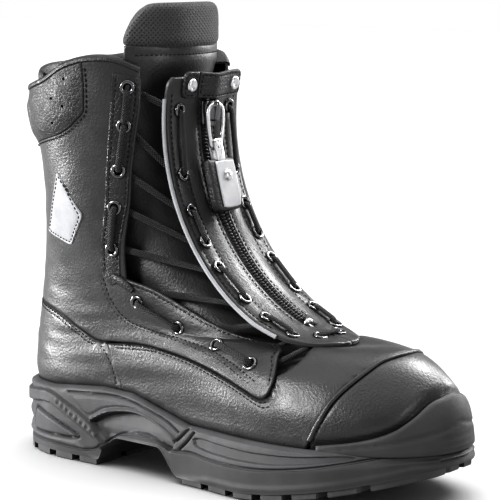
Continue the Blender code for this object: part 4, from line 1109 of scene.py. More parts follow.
def build_collar():
    top = [(v - 0.07, a) for v, a in COLLAR if abs(a) < PANEL_FRONT][::-1]
    side = [(12.93, -PANEL_FRONT), (12.5, -105.6), (12.15, -104.4), (11.95, -103), (11.77, -97.4)]
    low = [(11.77, -97.4), (11.56, -90), (11.39, -79.9), (11.27, -65.7), (11.05, -30), (11.0, 0)]
    front, lower = smooth(side), smooth(low)
    upper = smooth([(12.93, -PANEL_FRONT)] + top)
    outline = np.vstack([upper, mirrored(upper)[::-1][1:], mirrored(front)[1:], mirrored(lower)[1:],
                         lower[::-1][1:], front[::-1][1:-1]])
    seams, rows = [], []
    for sign in (-1, 1):
        edge = on_side(np.vstack([front, lower[1:]]), sign)
        pair = [inset(SIDE_SKIN, edge, sign * distance, drop=1) for distance in (1.4 * MM, 3.2 * MM)]
        seams += pair
        rows.append((pair[0], OVERLAY[1]))
    holes = [hole_on_last(v, -sign * a, 0.95 * MM, 12) for sign in (-1, 1) for v, a in VENTS]
    piece = sheet("collar_pad", SIDE_SKIN, outline, OVERLAY, PEBBLED, holes, seams, swell=panel_swell,
                  low_swell=False)
    settle(piece, "boot", ["collar_panel"])
    stitched("collar_stitches", SIDE_SKIN, rows, swell=panel_swell)

    build_back_pads()
    line = np.vstack([smooth(COLLAR[::-1], 10), mirrored(smooth(COLLAR, 10))[1:]])
    line = SIDE_SKIN.pattern(even(SIDE_SKIN.flat(line), 2.0 * MM))
    section = [(1.9, 1.9), (2.0, 2.6), (1.6, 3.1), (0.4, 3.0), (-0.6, 2.4), (-1.1, 1.0), (-1.2, -1.0),
               (-1.2, -5.0), (-1.3, -7.4), (-0.1, -9.0), (2.0, -9.6), (14.5, -9.4), (14.6, -8.2), (1.6, -8.1),
               (0.4, -7.2), (0.2, -4.0), (0.2, 0.0), (0.4, 1.8)]
    rim = sweep("collar_rim", *along_last(line), [(w * MM, h * MM) for w, h in section], SOFT)
    settle(rim, "boot", ["collar_binding"])

    lining = [(0.1, -94), (3.0, -94), (5.5, -89), (7.0, -82), (8.3, -88), (9.5, -100), (10.5, -108),
              (11.6, -115), (12.6, -119), (12.85, -104), (12.7, -90), (12.45, -70), (12.25, -40), (12.2, 0)]
    upper = smooth(lining, 4)
    low = np.array([(0.1, a) for a in (80, 64, 48, 32, 12, -12, -32, -48, -64, -80)])
    piece = sheet("collar_lining", SIDE_SKIN, np.vstack([upper, mirrored(upper)[::-1][1:], low]),
                  (-7.7 * MM, -6.4 * MM), LINING_LOOK, step=5 * MM)
    settle(piece, "boot", ["quarter_lining"])


def build_eyestays():
    seam = [(12.75, -123.5), (11.6, -118), (10.5, -112), (9.5, -105.5), (8.3, -94), (7.3, -85.5)]
    end = [(7.0, -87.5), (7.15, -92)]
    edge = [(7.5, -97), (8.5, -107), (9.6, -120), (10.5, -126.5), (11.4, -132.5), (12.2, -137),
            (12.65, -137.5)]
    for side, sign in SIDES:
        outline = on_side(np.vstack([smooth(seam), end, smooth(edge)]), sign)
        back = inset(SIDE_SKIN, on_side(smooth(seam), sign), sign * 1.8 * MM, drop=1)
        front = inset(SIDE_SKIN, on_side(smooth(edge), sign), sign * 1.8 * MM, drop=1)
        holes = [hole_on_last(v, -sign * a, EYELET_HOLE) for v, a in EYELETS[:ON_EYESTAY]]
        piece = sheet("eyestay_" + side + "_leather", SIDE_SKIN, outline, OVERLAY, SOFT, holes, [back, front],
                      swell=quarter_swell)
        settle(piece, "boot", ["eyestay_" + side])
        stitched("eyestay_" + side + "_stitches", SIDE_SKIN, [(back, OVERLAY[1]), (front, OVERLAY[1])],
                 swell=quarter_swell)
        fold = on_side(smooth([(7.42, -92.5), (7.32, -94.8), (7.15, -97), (6.98, -98.6)]), sign)
        fat = 0.55 + 0.45 * np.sin(np.linspace(0.25, math.pi - 0.25, len(fold)))
        tab = sweep("flex_tab_" + side, *along_last(fold, 3.0 * MM), oval(2.6, 1.9), SOFT, taper=fat)
        settle(tab, "boot")
    corners = [(10.45, -73.5), (9.25, -90.0), (8.18, -72.0), (8.42, -47.0)]
    loop = rounded(corners, 2.6 * MM)
    border = rounded(corners, 1.5 * MM, 1.7 * MM)
    border = np.vstack([border, border[:1]])
    piece = sheet("reflective_mark", SIDE_SKIN, loop, OVERLAY, FILM, seams=[border], swell=quarter_swell)
    settle(piece, "boot", ["reflective_patch"])
    stitched("reflective_mark_stitches", SIDE_SKIN, [(border, OVERLAY[1])], swell=quarter_swell)


EYELET_PROFILE = [(2.1, -1.4), (2.9, -1.4), (2.95, 0.0), (4.15, 0.0), (4.35, 0.25), (4.3, 0.6), (3.95, 0.95),
                  (3.4, 1.08), (2.85, 0.98), (2.4, 0.6), (2.15, 0.0)]


def eyelet(name, origin, normal, replaces=()):
    settle(lathe(name, EYELET_PROFILE, origin, normal, DARK_METAL), "boot", replaces)


def build_eyelets():
    for side, sign in SIDES:
        for count, (v, angle) in enumerate(EYELETS, 1):
            seat = (OVERLAY if count <= ON_EYESTAY else QUARTER)[1] + 0.1 * MM
            angle *= -sign
            eyelet("eyelet_ring_%s_%d" % (side, count), on_last(v, angle, seat)[0], last_normals(v, angle)[0],
                   ["eyelet_%s_%d" % (side, count)])
        for count, (phi, w) in enumerate(INSERT_EYELETS + [INSERT_END], 1):
            q = np.array([(phi, sign * w * MM)])
            eyelet("insert_eyelet_%s_%d" % (side, count), INSERT_SKIN.lift(q, 0.1 * MM + insert_swell(q))[0],
                   INSERT_SKIN.normals(q)[0])


# ---------------------------------------------------------------- tongue

def tongue_swell(q):
    top = 4.6 * MM * ease((q[:, 0] - 12.2) / 0.9)
    return top + ripple(q, 0.5 * MM, 0.6, 18.0)


def pad_swell(q):
    return 1.6 * MM * ease((50 - np.abs(q[:, 1] - 180)) / 40)


PAD_SEAM = 13.17


def build_tongue():
    side = [(4.6, -150), (5.3, -124), (6.4, -108), (7.3, -91), (8.2, -95), (9.5, -109), (11.0, -120),
            (12.4, -128), (PAD_SEAM + 0.05, -131.5)]
    edge = through_front(smooth(side, 4))
    top = np.array([(PAD_SEAM + 0.06, a) for a in np.linspace(226, 134, 24)])
    far = through_front(mirrored(smooth(side, 4)))[::-1]
    low = np.array([(4.5, a) for a in (164, 180, 196)])
    seam = np.array([(PAD_SEAM - 0.12, a) for a in np.linspace(224, 136, 30)])
    piece = sheet("tongue_leather", FRONT_SKIN, np.vstack([edge, top, far, low]), (-12.0 * MM, -9.2 * MM),
                  LEATHER, seams=[seam], swell=tongue_swell)
    settle(piece, "boot", ["tongue"])
    stitched("tongue_stitches", FRONT_SKIN, [(seam, -9.2 * MM)], swell=tongue_swell)

    corner = [(PAD_SEAM, -175), (PAD_SEAM, -160), (PAD_SEAM + 0.02, -145), (PAD_SEAM + 0.05, -133.5),
              (PAD_SEAM + 0.15, -131.5), (13.55, -135.5), (13.78, -142), (13.90, -148), (13.97, -156),
              (13.98, -179)]
    near = through_front(smooth(corner, 4))
    outline = np.vstack([near, through_front(mirrored(smooth(corner, 4)))[::-1]])
    pad = sheet("tongue_top_pad", FRONT_SKIN, outline, (-13.5 * MM, -4.0 * MM), PAD_LOOK, swell=pad_swell,
                step=2.2 * MM, roll=4.4 * MM, low_swell=False)
    settle(pad, "boot", ["tongue_pad"])


# ---------------------------------------------------------------- the zip insert

def piping_edge(phi):
    """Half the insert's width at a place along the zip's arc."""
    rows = [(12, 32.0), (-50, 32.0), (-60, 31.4), (-68, 28.4), (-74, 23.0), (-78, 16)]
    return np.interp(-np.asarray(phi), [-r[0] for r in rows], [r[1] for r in rows]) * MM


def insert_swell(q):
    across = np.abs(q[:, 1]) / MM
    band = np.exp(-((across - 24.5) / 3.2) ** 2) * 0.6 * MM
    beside_zip = np.exp(-((across - 12) / 3.5) ** 2) * 0.5 * MM
    folds = 0.2 * MM * np.sin(q[:, 0] * 0.23 + across * 0.1) * ease((across - 14) / 10)
    return band + beside_zip + folds + 1.6 * MM * ease((-69 - q[:, 0]) / 11)


def build_insert():
    edge = [(11.6, -INSERT_HALF + 3 * MM), (9.5, -INSERT_HALF + 0.4 * MM), (4, -INSERT_HALF),
            (-6, -INSERT_HALF), (-16, -INSERT_HALF), (-33, -INSERT_HALF), (-50, -INSERT_HALF),
            (-60, -31.4 * MM), (-68, -28.4 * MM), (-73.5, -23.5 * MM), (-77.6, -17 * MM), (-80.0, -10 * MM),
            (INSERT_BOTTOM + 0.1, -4 * MM)]
    middle = [(INSERT_BOTTOM, -0.3 * MM), (-68, -0.3 * MM), (-67.5, -4.6 * MM), (-60, -4.6 * MM),
              (-40, -4.6 * MM), (-16, -4.6 * MM), (0, -4.6 * MM), (INSERT_TOP, -4.6 * MM)]
    for side, sign in SIDES:
        outline = on_side(np.vstack([smooth(edge, 4), middle]), sign)
        seams = []
        for across, top, bottom in ((7.2, 10, -66), (19.5, 1, -70), (28.6, 8, -66)):
            phis = np.arange(top, bottom, -2.0)
            room = np.minimum(across * MM, piping_edge(phis) - 3.0 * MM)
            seams.append(np.stack([phis, sign * room], axis=1))
        holes = [hole_on_insert(phi, sign * w * MM, EYELET_HOLE) for phi, w in INSERT_EYELETS + [INSERT_END]]
        piece = sheet("insert_" + side + "_leather", INSERT_SKIN, outline, (-2.2 * MM, 0.0), LEATHER, holes,
                      seams, swell=insert_swell)
        settle(piece, "boot", ["insert_" + side])
        stitched("insert_" + side + "_stitches", INSERT_SKIN, [(seam, 0.0) for seam in seams],
                 swell=insert_swell)

        phis = np.arange(6, -67, -0.8)
        path = on_arc(phis, sign * (piping_edge(phis) + 1.2 * MM), 0.9 * MM)
        q = np.stack([phis, sign * piping_edge(phis)], axis=1)
        pipe = sweep("piping_" + side + "_cord", path, INSERT_SKIN.normals(q), oval(1.15, 1.15), FILM)
        settle(pipe, "boot", ["piping_" + side])

        pitch = 2.05 / math.radians(ZIP_R) * MM
        phis = np.arange(3.0, -65.0, -pitch) - (0.5 * pitch if sign > 0 else 0.0)
        near = on_arc(phis, sign * 0.1 * MM, -0.1 * MM)
        far = on_arc(phis + 0.35 * pitch, sign * 3.3 * MM, -0.1 * MM)
        q = np.stack([phis, np.full_like(phis, sign * MM)], axis=1)
        teeth = beads("zip_teeth_%s_coil" % side, np.stack([near, far], axis=1), INSERT_SKIN.normals(q),
                      0.82 * MM, PLASTIC, rings=7, sides=8)
        settle(teeth, "boot", ["zip_teeth_" + side])
    q = np.array([(-66.2, 0.0)])
    ends = [on_arc(-66.2, across, -0.6 * MM)[0] for across in (-3.4 * MM, 3.4 * MM)]
    stop = beads("zip_bottom_stop", [ends], INSERT_SKIN.normals(q), 1.7 * MM, STEEL, rings=9, sides=12)
    settle(stop, "boot")


# ---------------------------------------------------------------- slider, puller, tab and strap

PIVOT_PHI, PIVOT_DEPTH = 4.5, -6.4 * MM
PULLER_LENGTH = 25 * MM
TAB_DEPTH = -6.0 * MM


class FlatSkin:
    """A flat piece: u across, w along, n out of it."""

    def __init__(self, origin, u, w, n):
        self.origin, self.u, self.w, self.n = (np.asarray(a, float) for a in (origin, u, w, n))

    def flat(self, q):
        return np.asarray(q, float)

    pattern = flat

    def lift(self, q, out):
        return self.origin + q[:, :1] * self.u + q[:, 1:] * self.w + np.reshape(out, (-1, 1)) * self.n

    def normals(self, q):
        return np.broadcast_to(self.n, (len(q), 3))


SLIDER_TOP, SLIDER_BOTTOM = 5.9, -1.9


def build_slider():
    """A waisted face plate with a bridge over the puller's bar, and the wings that fold round the teeth."""
    top, low = SLIDER_TOP, SLIDER_BOTTOM
    half = [(top, 0), (top, 3.0), (top - 0.5, 4.9), (top - 2.4, 5.4), (low + 2.2, 4.3), (low + 0.5, 3.6),
            (low, 2.4), (low, 0)]
    loop = smooth(half + [(phi, -w) for phi, w in half[-2:0:-1]] + half[:1], 5)[:-1]
    loop = np.stack([loop[:, 0], loop[:, 1] * MM], axis=1)
    plate = sheet("slider_plate", INSERT_SKIN, loop, (1.6 * MM, 4.5 * MM), DARK_METAL, roll=1.3 * MM,
                  step=1.6 * MM)
    settle(plate, "slider", ["zip_slider"])
    for side, sign in SIDES:
        phis = np.linspace(top - 0.8, low + 0.8, 12)
        wide = np.interp(phis, [low, top], [4.0, 4.9]) * MM
        normals = INSERT_SKIN.normals(np.stack([phis, sign * wide], axis=1))
        wing = sweep("slider_wing_" + side, on_arc(phis, sign * wide, 0.2 * MM), normals, oval(0.75, 2.1),
                     DARK_METAL)
        settle(wing, "slider")
    arch = smooth([(-4.7, 4.0), (-4.6, 7.3), (-3.8, 8.6), (-1.8, 8.9), (0.2, 8.6), (1.05, 7.3), (1.1, 4.0)])
    path = on_arc(PIVOT_PHI + arch[:, 0], 0.0, -arch[:, 1] * MM)
    sideways = np.broadcast_to((0.0, 1.0, 0.0), path.shape)
    bridge = sweep("slider_bridge", path, sideways, oval(0.55, 1.7), DARK_METAL)
    settle(bridge, "slider")


def build_puller():
    first = on_arc(PIVOT_PHI, 0, PIVOT_DEPTH)[0]
    swing = math.degrees(PULLER_LENGTH / ZIP_R)
    second = on_arc(PIVOT_PHI - swing, 0, TAB_DEPTH)[0]
    third = on_arc(PIVOT_PHI - swing - 19, 0, -4.4 * MM)[0]
    across = np.array([0.0, 1.0, 0.0])
    down = unit(second - first)
    out = np.cross(across, down)
    out *= np.sign(out[0])
    half = [(0, 0), (3.8, 0.4), (6.3, 2.9), (7.0, 7), (6.6, 13), (5.2, 20), (4.2, 23.6), (2.4, 25), (0, 25)]
    loop = half + [(-w, d) for w, d in half[-2:0:-1]]
    line = smooth(loop + loop[:1])[:-1] * MM
    path = first + line[:, :1] * across + line[:, 1:] * down
    ring = sweep("zip_pull_loop", path, np.broadcast_to(out, path.shape), oval(1.25, 1.25, 14), STEEL,
                 closed=True)
    settle(ring, "puller", ["zip_puller"])

    down = unit(third - second)
    out = np.cross(across, down)
    out *= np.sign(out[0])
    skin = FlatSkin(second, across, down, out)
    reach = np.linalg.norm(third - second) / MM
    neck = [(-3.2, -3.4), (0, -3.6), (3.2, -3.4), (3.4, -1), (3.4, 9.5), (-3.4, 9.5), (-3.4, -1)]
    for name, low, high in (("pull_tab_clip", 1.4, 2.7), ("pull_tab_clip_back", -2.7, -1.4)):
        layer = low * MM, high * MM
        piece = sheet(name, skin, np.array(neck) * MM, layer, STEEL, roll=0.5 * MM, step=2 * MM)
        settle(piece, "tab")
    body = [(-11.0, 8.3), (0, 8.0), (11.0, 8.3), (12.0, 9.6), (12.2, 20), (12.0, 32), (11.4, reach - 3.0),
            (9.2, reach - 0.6), (0, reach), (-9.2, reach - 0.6), (-11.4, reach - 3.0), (-12.0, 32),
            (-12.2, 20), (-12.0, 9.6)]
    outline = smooth(body + body[:1], 4)[:-1] * MM
    leaf = sheet("pull_tab_leather", skin, outline, (-2.3 * MM, 2.1 * MM), SOFT, roll=1.9 * MM, step=2.2 * MM)
    settle(leaf, "tab", ["pull_tab"])
    # painted highlight: a pale face laid over the leather tab where it catches a sheen
    face = [(-6.2, 9.8), (0, 9.5), (9.6, 9.8), (10.4, 11), (10.6, 20), (10.4, 31), (9.6, reach - 3.4),
            (7.0, reach - 2.0), (0, reach - 1.6), (-5.4, reach - 2.2), (-6.4, reach - 4.0), (-6.6, 20)]
    outline = smooth(face + face[:1], 4)[:-1] * MM
    front = sheet("pull_tab_painted_highlight", skin, outline, (2.15 * MM, 2.8 * MM), TAB_PAINTED_HIGHLIGHT, roll=0.6 * MM,
                  step=2.2 * MM)
    settle(front, "tab")
    stud = second + down * 18 * MM + across * 2 * MM + out * 2.9 * MM
    profile = [(0, 1.9), (1.2, 1.8), (2.4, 1.4), (3.2, 0.7), (3.4, 0.0), (0, 0.0)]
    settle(lathe("pull_tab_stud", profile, stud, out, STEEL), "tab", ["tab_rivet"])


STRAP_LOW, STRAP_HIGH = 6.2, 13.4
STRAP_SPLIT = -11.6 * MM
STRAP_THICK = 2.0 * MM
STRAP_RISE = smooth([(-32, -0.5), (-22, -0.6), (-12, -0.8), (-5, -3.0), (0, -4.6), (6, -3.7), (13, -2.3),
                     (22, -2.2), (32, -2.2)])


def strap_swell(q):
    return -np.interp(q[:, 1] / MM, STRAP_RISE[:, 0], STRAP_RISE[:, 1]) * MM


def build_strap():
    low, high = STRAP_LOW, STRAP_HIGH
    lap = [(low, STRAP_SPLIT + 0.3 * MM), (low, -8 * MM), (low, 8 * MM), (low, 25.5 * MM),
           (low + 0.6, 27.6 * MM), (low + 1.6, 28.5 * MM), (high - 1.6, 28.5 * MM),
           (high - 0.6, 27.6 * MM), (high, 25.5 * MM), (high, 8 * MM), (high, -8 * MM),
           (high, STRAP_SPLIT + 0.3 * MM)]
    stub = [(low, STRAP_SPLIT - 0.3 * MM), (high, STRAP_SPLIT - 0.3 * MM), (high, -20.1 * MM),
            (high - 0.6, -21.9 * MM), (high - 1.6, -22.5 * MM), (low + 1.6, -22.5 * MM),
            (low + 0.6, -21.9 * MM), (low, -20.1 * MM)]
    for name, body, outline, node in (("strap_flap", "strap", lap, "lock_strap"),
                                      ("strap_end", "boot", stub, "strap_anchor")):
        loop = np.array(outline)
        middle = np.array([(low + high) / 2, loop[:, 1].mean()])
        size = np.array([0.80, 1 - 2.6 * MM / np.ptp(loop[:, 1])])
        seam = middle + (loop - middle) * size
        seam = np.vstack([seam, seam[:1]])
        piece = sheet(name, INSERT_SKIN, loop, (0.0, STRAP_THICK), SOFT, seams=[seam], swell=strap_swell,
                      step=2.2 * MM)
        settle(piece, body, [node])
        stitched(name + "_stitches", INSERT_SKIN, [(seam, STRAP_THICK)], body=body, swell=strap_swell)
    profile = [(0, 0.75), (1.5, 0.7), (2.1, 1.15), (3.0, 1.2), (3.7, 0.8), (4.0, 0.0), (0, 0.0)]
    heads = (("strap_rivet_head", "boot", -17, "strap_rivet"), ("snap_head", "strap", 21, "snap_cap"))
    for name, body, w, node in heads:
        q = np.array([((low + high) / 2, w * MM)])
        place = INSERT_SKIN.lift(q, strap_swell(q) + STRAP_THICK + 0.1 * MM)[0]
        settle(lathe(name, profile, place, INSERT_SKIN.normals(q)[0], STEEL), body, [node])


# ---------------------------------------------------------------- the lace

LACE_HALF = 1.9, 1.15               # half the braid's width and thickness, in mm


def lace_route(sign):
    """Corners of the lace on one side as (place, surface normal), from the insert's end to the top eyelet."""
    insert = INSERT_EYELETS[::-1]
    inner, cross, proud = -3.0 * MM, 4.4 * MM, -2.2 * MM

    def on_boot(v, angle, out):
        return on_last(v, angle, out)[0], last_normals(v, angle)[0]

    def at_boot(number, out):
        v, angle = EYELETS[number]
        return on_boot(v, -sign * angle, out)

    def by_zip(phi, w, depth):
        q = np.array([(phi, sign * w * MM)])
        return on_arc(phi, sign * w * MM, depth)[0], INSERT_SKIN.normals(q)[0]

    def at_insert(number, depth):
        return by_zip(*insert[number], depth)

    def bar(number):
        return (OVERLAY if number < ON_EYESTAY else QUARTER)[1] + 2.6 * MM

    route = [by_zip(*INSERT_END, proud), by_zip(*INSERT_END, 4.7 * MM)]
    route += [on_boot(v, -sign * angle, out * MM) for v, angle, out in
              ((4.2, -138, 0.7), (3.65, -130, 0.9), (3.35, -124, -2.0), (3.0, -118, -3.2))]
    for first, third in zip((8, 6, 4, 2), (0, 2, 4, 6)):
        second, fourth = first - 1, third + 1
        route += [at_boot(first, inner), at_boot(first, bar(first)), at_boot(second, bar(second)),
                  at_boot(second, inner)]
        route += [on_boot(v, -sign * angle, inner) for v, angle in WING_LACE.get(second, [])]
        route += [at_insert(third, cross), at_insert(third, proud), at_insert(fourth, proud),
                  at_insert(fourth, cross)]
        route += [on_boot(v, -sign * angle, inner) for v, angle in WING_LACE.get(first - 2, [])]
    return route + [at_boot(0, inner), at_boot(0, bar(0) - 1.6 * MM)]


def build_lace():
    corners = lace_route(-1)[::-1] + lace_route(1)
    points = np.array([c[0] for c in corners])
    normals = np.array([c[1] for c in corners])
    line, ups = [points[0]], [normals[0]]
    for i in range(1, len(points) - 1):
        for other in (i - 1, i + 1):
            way = points[other] - points[i]
            share = min(1.9 * MM / np.linalg.norm(way), 0.4)
            line.append(points[i] + way * share)
            ups.append(normals[i] * (1 - share) + normals[other] * share)
    line, ups = np.array(line + [points[-1]]), np.array(ups + [normals[-1]])
    run = run_along(line)
    at = np.arange(0, run[-1], 0.9 * MM)
    path = np.stack([np.interp(at, run, line[:, k]) for k in range(3)], axis=1)
    up = np.stack([np.interp(at, run, ups[:, k]) for k in range(3)], axis=1)
    for _ in range(3):
        path[1:-1] = (path[:-2] + 2 * path[1:-1] + path[2:]) / 4
        up[1:-1] = (up[:-2] + 2 * up[1:-1] + up[2:]) / 4
    way = unit(np.gradient(path, axis=0))
    up = up - way * np.sum(up * way, axis=1, keepdims=True)
    weak = np.linalg.norm(up, axis=1) < 0.35
    up[weak] = np.nan
    good = np.where(~weak)[0]
    up = np.stack([np.interp(np.arange(len(up)), good, up[good, k]) for k in range(3)], axis=1)
    up = unit(up - way * np.sum(up * way, axis=1, keepdims=True))
    piece = sweep("lace_braid", path, up, oval(*LACE_HALF), LACE_LOOK)
    settle(piece, "boot", ["lace"])
    for side, sign in SIDES:
        (v, angle), (far_v, far_angle) = EYELETS[:2]
        share = np.linspace(0, 1, 30)
        rise = np.interp(share, [0, 0.08, 0.2, 0.8, 0.92, 1], [-1.5, 2.8, 4.6, 4.6, 2.8, -1.5]) * MM
        line = np.stack([v + (far_v - v) * share, -sign * (angle + (far_angle - angle) * share)], axis=1)
        bar = sweep("lace_top_bar_" + side, *along_last(line, rise), oval(*LACE_HALF), LACE_LOOK)
        settle(bar, "boot")


# ---------------------------------------------------------------- the sole

SOLE_SPRING = 21 * MM
SPRING_START, SPRING_REACH = 35 * MM, 115 * MM
ARCH_FRONT, ARCH_BACK = -6 * MM, -72 * MM
ARCH_HEIGHT = 15 * MM
HEEL_OUTSOLE, FORE_OUTSOLE = 13 * MM, 9 * MM
LUG = 4 * MM                        # depth of the tread
LUG_ROOM, LUG_LEAST = 5 * MM, 2 * MM    # the gap between lugs across the sole, and the narrowest lug
GROOVES = (-130, -110, -90, 14, 34, 54, 74, 94, 114)
GROOVE = 6 * MM


def foot_plane(x):
    front, back = SLICES[0][0:2], SLICES[0][2:4]
    return back[1] + (front[1] - back[1]) * (x - back[0]) / (front[0] - back[0])


def tread(x):
    rise = ease((ARCH_FRONT - x) / (18 * MM)) * ease((x - ARCH_BACK) / (8 * MM))
    return ARCH_HEIGHT * rise + SOLE_SPRING * np.maximum(0.0, (x - SPRING_START) / SPRING_REACH) ** 1.5


def outsole_top(x):
    fore = ease((x - ARCH_FRONT) / (30 * MM))
    heel = ease((ARCH_BACK - x) / (20 * MM))
    top = tread(x) + 5.5 * MM + heel * (HEEL_OUTSOLE - 5.5 * MM) + fore * (FORE_OUTSOLE - 5.5 * MM)
    return np.minimum(top, foot_plane(x) - 3.6 * MM)


def level_normal(angle):
    normal = last_normals(np.zeros_like(angle), angle)
    normal[:, 2] = 0
    return unit(normal)


def level(angle, out, height):
    p = last_points(np.zeros_like(angle), angle) + level_normal(angle) * np.reshape(out, (-1, 1))
    p[:, 2] = height(p[:, 0])
    return p


def cup(angle, out, drop=0.0):
    v = rim_v(angle)
    p = on_last(v, angle, out)
    p[:, 2] = last_points(v, angle)[:, 2] - drop
    return p


def split_height(x):
    """Where the midsole's wall meets the outsole, along the boot."""
    rows = [(-152, 7.6), (-120, 7.9), (-87, 7.4), (-76, 8.6), (-70, 11.6), (-66, 14.0), (-60, 18.0),
            (-52, 21.2), (-40, 22.6), (-27, 21.8), (-18, 19.4), (-10, 18.2), (4, 19.2), (24, 17.6),
            (51, 18.3), (82, 22.2), (108, 27.5), (135, 33.0), (152, 35.0)]
    line = smooth(rows, 5)
    return np.interp(np.asarray(x) / MM, line[:, 0], line[:, 1]) * MM


def line_gap(x, z, points):
    """Distance in mm from wall points to a drawn line."""
    line = smooth(points, 4)
    return gap_to_lines(np.stack([x, z], axis=1), [line])


def region(x, z, corners, soft):
    """1 inside a shape drawn on the wall, 0 outside, with a soft edge."""
    loop = smooth(list(corners) + [corners[0]], 4)[:-1]
    place = np.stack([x, z], axis=1)
    away = gap_to_loop(place, loop)
    return ease(np.where(within(place, loop), away, -away) / soft / 2 + 0.5)


HEEL_BAND = [(-153, 36), (-140, 36.5), (-122, 39), (-110, 39), (-95, 33.8), (-80, 26.9), (-66, 17.5),
             (-64, 12), (-68, 11.5), (-74, 17.1), (-90, 24.6), (-105, 30.6), (-115.6, 33), (-136.7, 29.8),
             (-153, 29)]
HEEL_PANEL = [(-132.5, 14.5), (-129.6, 24.2), (-128.2, 26.4), (-125.6, 26.8), (-108, 22.6), (-91, 17.2),
              (-87.5, 15.6), (-90, 14.4), (-110, 13.4), (-130.5, 13.2)]
WAIST_STRIP = [(-97, 41), (-80, 42.3), (-62, 43.4), (-48, 42.5), (-31, 39.0), (-16, 34.5), (-7, 30.0)]
ARCH_LIP = [(-77, 27.2), (-66, 33.1), (-54, 36), (-39.5, 36.9), (-25.7, 33.7), (-13.3, 28.1), (-9.2, 24.6)]
ARCH_HOLLOW = [(-77, 26.4), (-66, 31.8), (-54, 34.6), (-39.5, 35.5), (-26.5, 32.3), (-14.5, 26.6),
               (-10.6, 22), (-14.4, 18.5), (-25, 22.8), (-38, 24.5), (-52, 22.1), (-60.6, 18.4), (-67, 14.2)]
WAIST_FIELD = [(-92, 38.5), (-78, 40.5), (-62, 41.4), (-48, 40.5), (-32, 37.0), (-18, 32.5), (-11, 29.0),
               (-22, 34.2), (-39, 38.6), (-54, 38.4), (-68, 35.6), (-80, 30.4)]
TICKS = ([(-11.5, 22.5), (-5, 27.5), (1, 33.5)], [(-5.5, 20.5), (0.5, 26), (5.0, 31.5)])
SIDE_PANEL = [(5, 28.0), (10, 29.2), (24, 28.6), (43, 28.0), (63, 28.4), (82, 29.4), (104, 31.6), (110, 30.6),
              (104, 28.6), (82, 25.4), (63, 23.2), (43, 22.4), (24, 22.6), (8, 24.2)]


RIBS = 9                            # short plain ribs, where the photo's wall has raised lettering


def wall_relief(x, z):
    """How far the sole's wall stands out, in mm, from its drawn features; x, z in mm."""
    out = np.zeros_like(x)
    band = region(x, z, HEEL_BAND, 0.6)
    out += 2.4 * band
    out += 0.7 * region(x, z, HEEL_PANEL, 0.5)
    out -= 1.9 * np.exp(-(line_gap(x, z, HEEL_PANEL + HEEL_PANEL[:1]) / 0.75) ** 2)
    out -= 1.5 * np.exp(-(line_gap(x, z, WAIST_STRIP) / 0.6) ** 2)
    out += 0.7 * region(x, z, WAIST_FIELD, 0.6)
    out += 1.6 * np.exp(-(line_gap(x, z, ARCH_LIP) / 1.1) ** 2)
    fall = np.clip((36.5 - z) / 13, 0, 1)
    out -= (5.4 - 2.4 * fall) * region(x, z, ARCH_HOLLOW, 0.7)
    for tick in TICKS:
        out -= 1.9 * np.exp(-(line_gap(x, z, tick) / 0.7) ** 2)
    out -= 1.3 * region(x, z, SIDE_PANEL, 0.45)
    out -= 1.3 * np.exp(-((z - split_height(x * MM) / MM - 1.0) / 0.5) ** 2)
    out -= 0.8 * np.exp(-((z - foot_plane(x * MM) / MM - 2.0) / 0.6) ** 2) * ease((x - 12) / 6)
    back = ease((-138 - x) / 6)
    out += back * 1.6 * np.abs(np.sin((z - 8) / 9.5 * math.pi)) * ease((z - 8) / 3) * (1 - band)
    for number in range(RIBS):
        middle = (-104 + 4.0 * number, 34.9 - 1.95 * number)
        rib = np.hypot((x - middle[0]) / 0.9, (z - middle[1]) / 1.5)
        out += 0.8 * np.exp(-rib ** 4)
    return out


def half_angles(step):
    """Angles from heel to toe, about evenly spaced along the sole's edge."""
    fine = np.linspace(0, 180, 1441)
    line = last_points(np.zeros_like(fine), fine)
    run = run_along(line)
    return np.interp(np.linspace(0, run[-1], round(run[-1] / step) + 1), run, fine)


def ring_solid(name, rings, material):
    """A closed solid from stacked rings whose points pair up from side to side."""
    k = len(rings[0])
    verts = np.vstack(rings)
    faces = []
    for i in range(len(rings) - 1):
        for j in range(k):
            a, b = i * k + j, i * k + (j + 1) % k
            faces.append((a, b, b + k, a + k))
    for base in (0, (len(rings) - 1) * k):
        faces.append((base, base + 1, base + k - 1))
        faces += [(base + j, base + j + 1, base + k - j - 1, base + k - j) for j in range(1, k // 2 - 1)]
        faces.append((base + k // 2 - 1, base + k // 2, base + k // 2 + 1))
    return add_mesh(name, verts, faces, material, sharp=42)


def round_toe(angles):
    """0 along the sides, rising to 1 round the toe."""
    return ease((np.abs(angles) - 128) / 26)


TOP_OF_OUTSOLE = 4                  # the index in wall_keys of the ring at the outsole's top


def wall_keys(angles):
    """The CAD's rings down the sole's wall, from the lip to the tread, drawn in a little round the toe."""
    tuck = level_normal(angles) * (3.2 * MM * round_toe(angles))[:, None]
    rings = [cup(angles, 3.6 * MM), cup(angles, 5.2 * MM, 1.6 * MM), cup(angles, 5.9 * MM, 4.0 * MM),
             level(angles, 7.2 * MM, lambda x: 0.5 * (foot_plane(x) + outsole_top(x))),
             level(angles, 6.8 * MM, outsole_top),
             level(angles, 7.6 * MM, lambda x: outsole_top(x) - 2.0 * MM),
             level(angles, 5.8 * MM + 1.8 * MM * ease((75 - np.abs(angles)) / 40), tread)]
    return [ring - tuck for ring in rings]


def wall_at(keys, heights, angles):
    """Places on the wall at given heights (one for each angle), read from the key rings."""
    stack = np.array(keys)
    places = np.empty((len(angles), 3))
    for j in range(len(angles)):
        z = stack[::-1, j, 2]
        order = np.argsort(z)
        places[j] = [np.interp(heights[j], z[order], stack[::-1, j, k][order]) for k in range(3)]
    return places


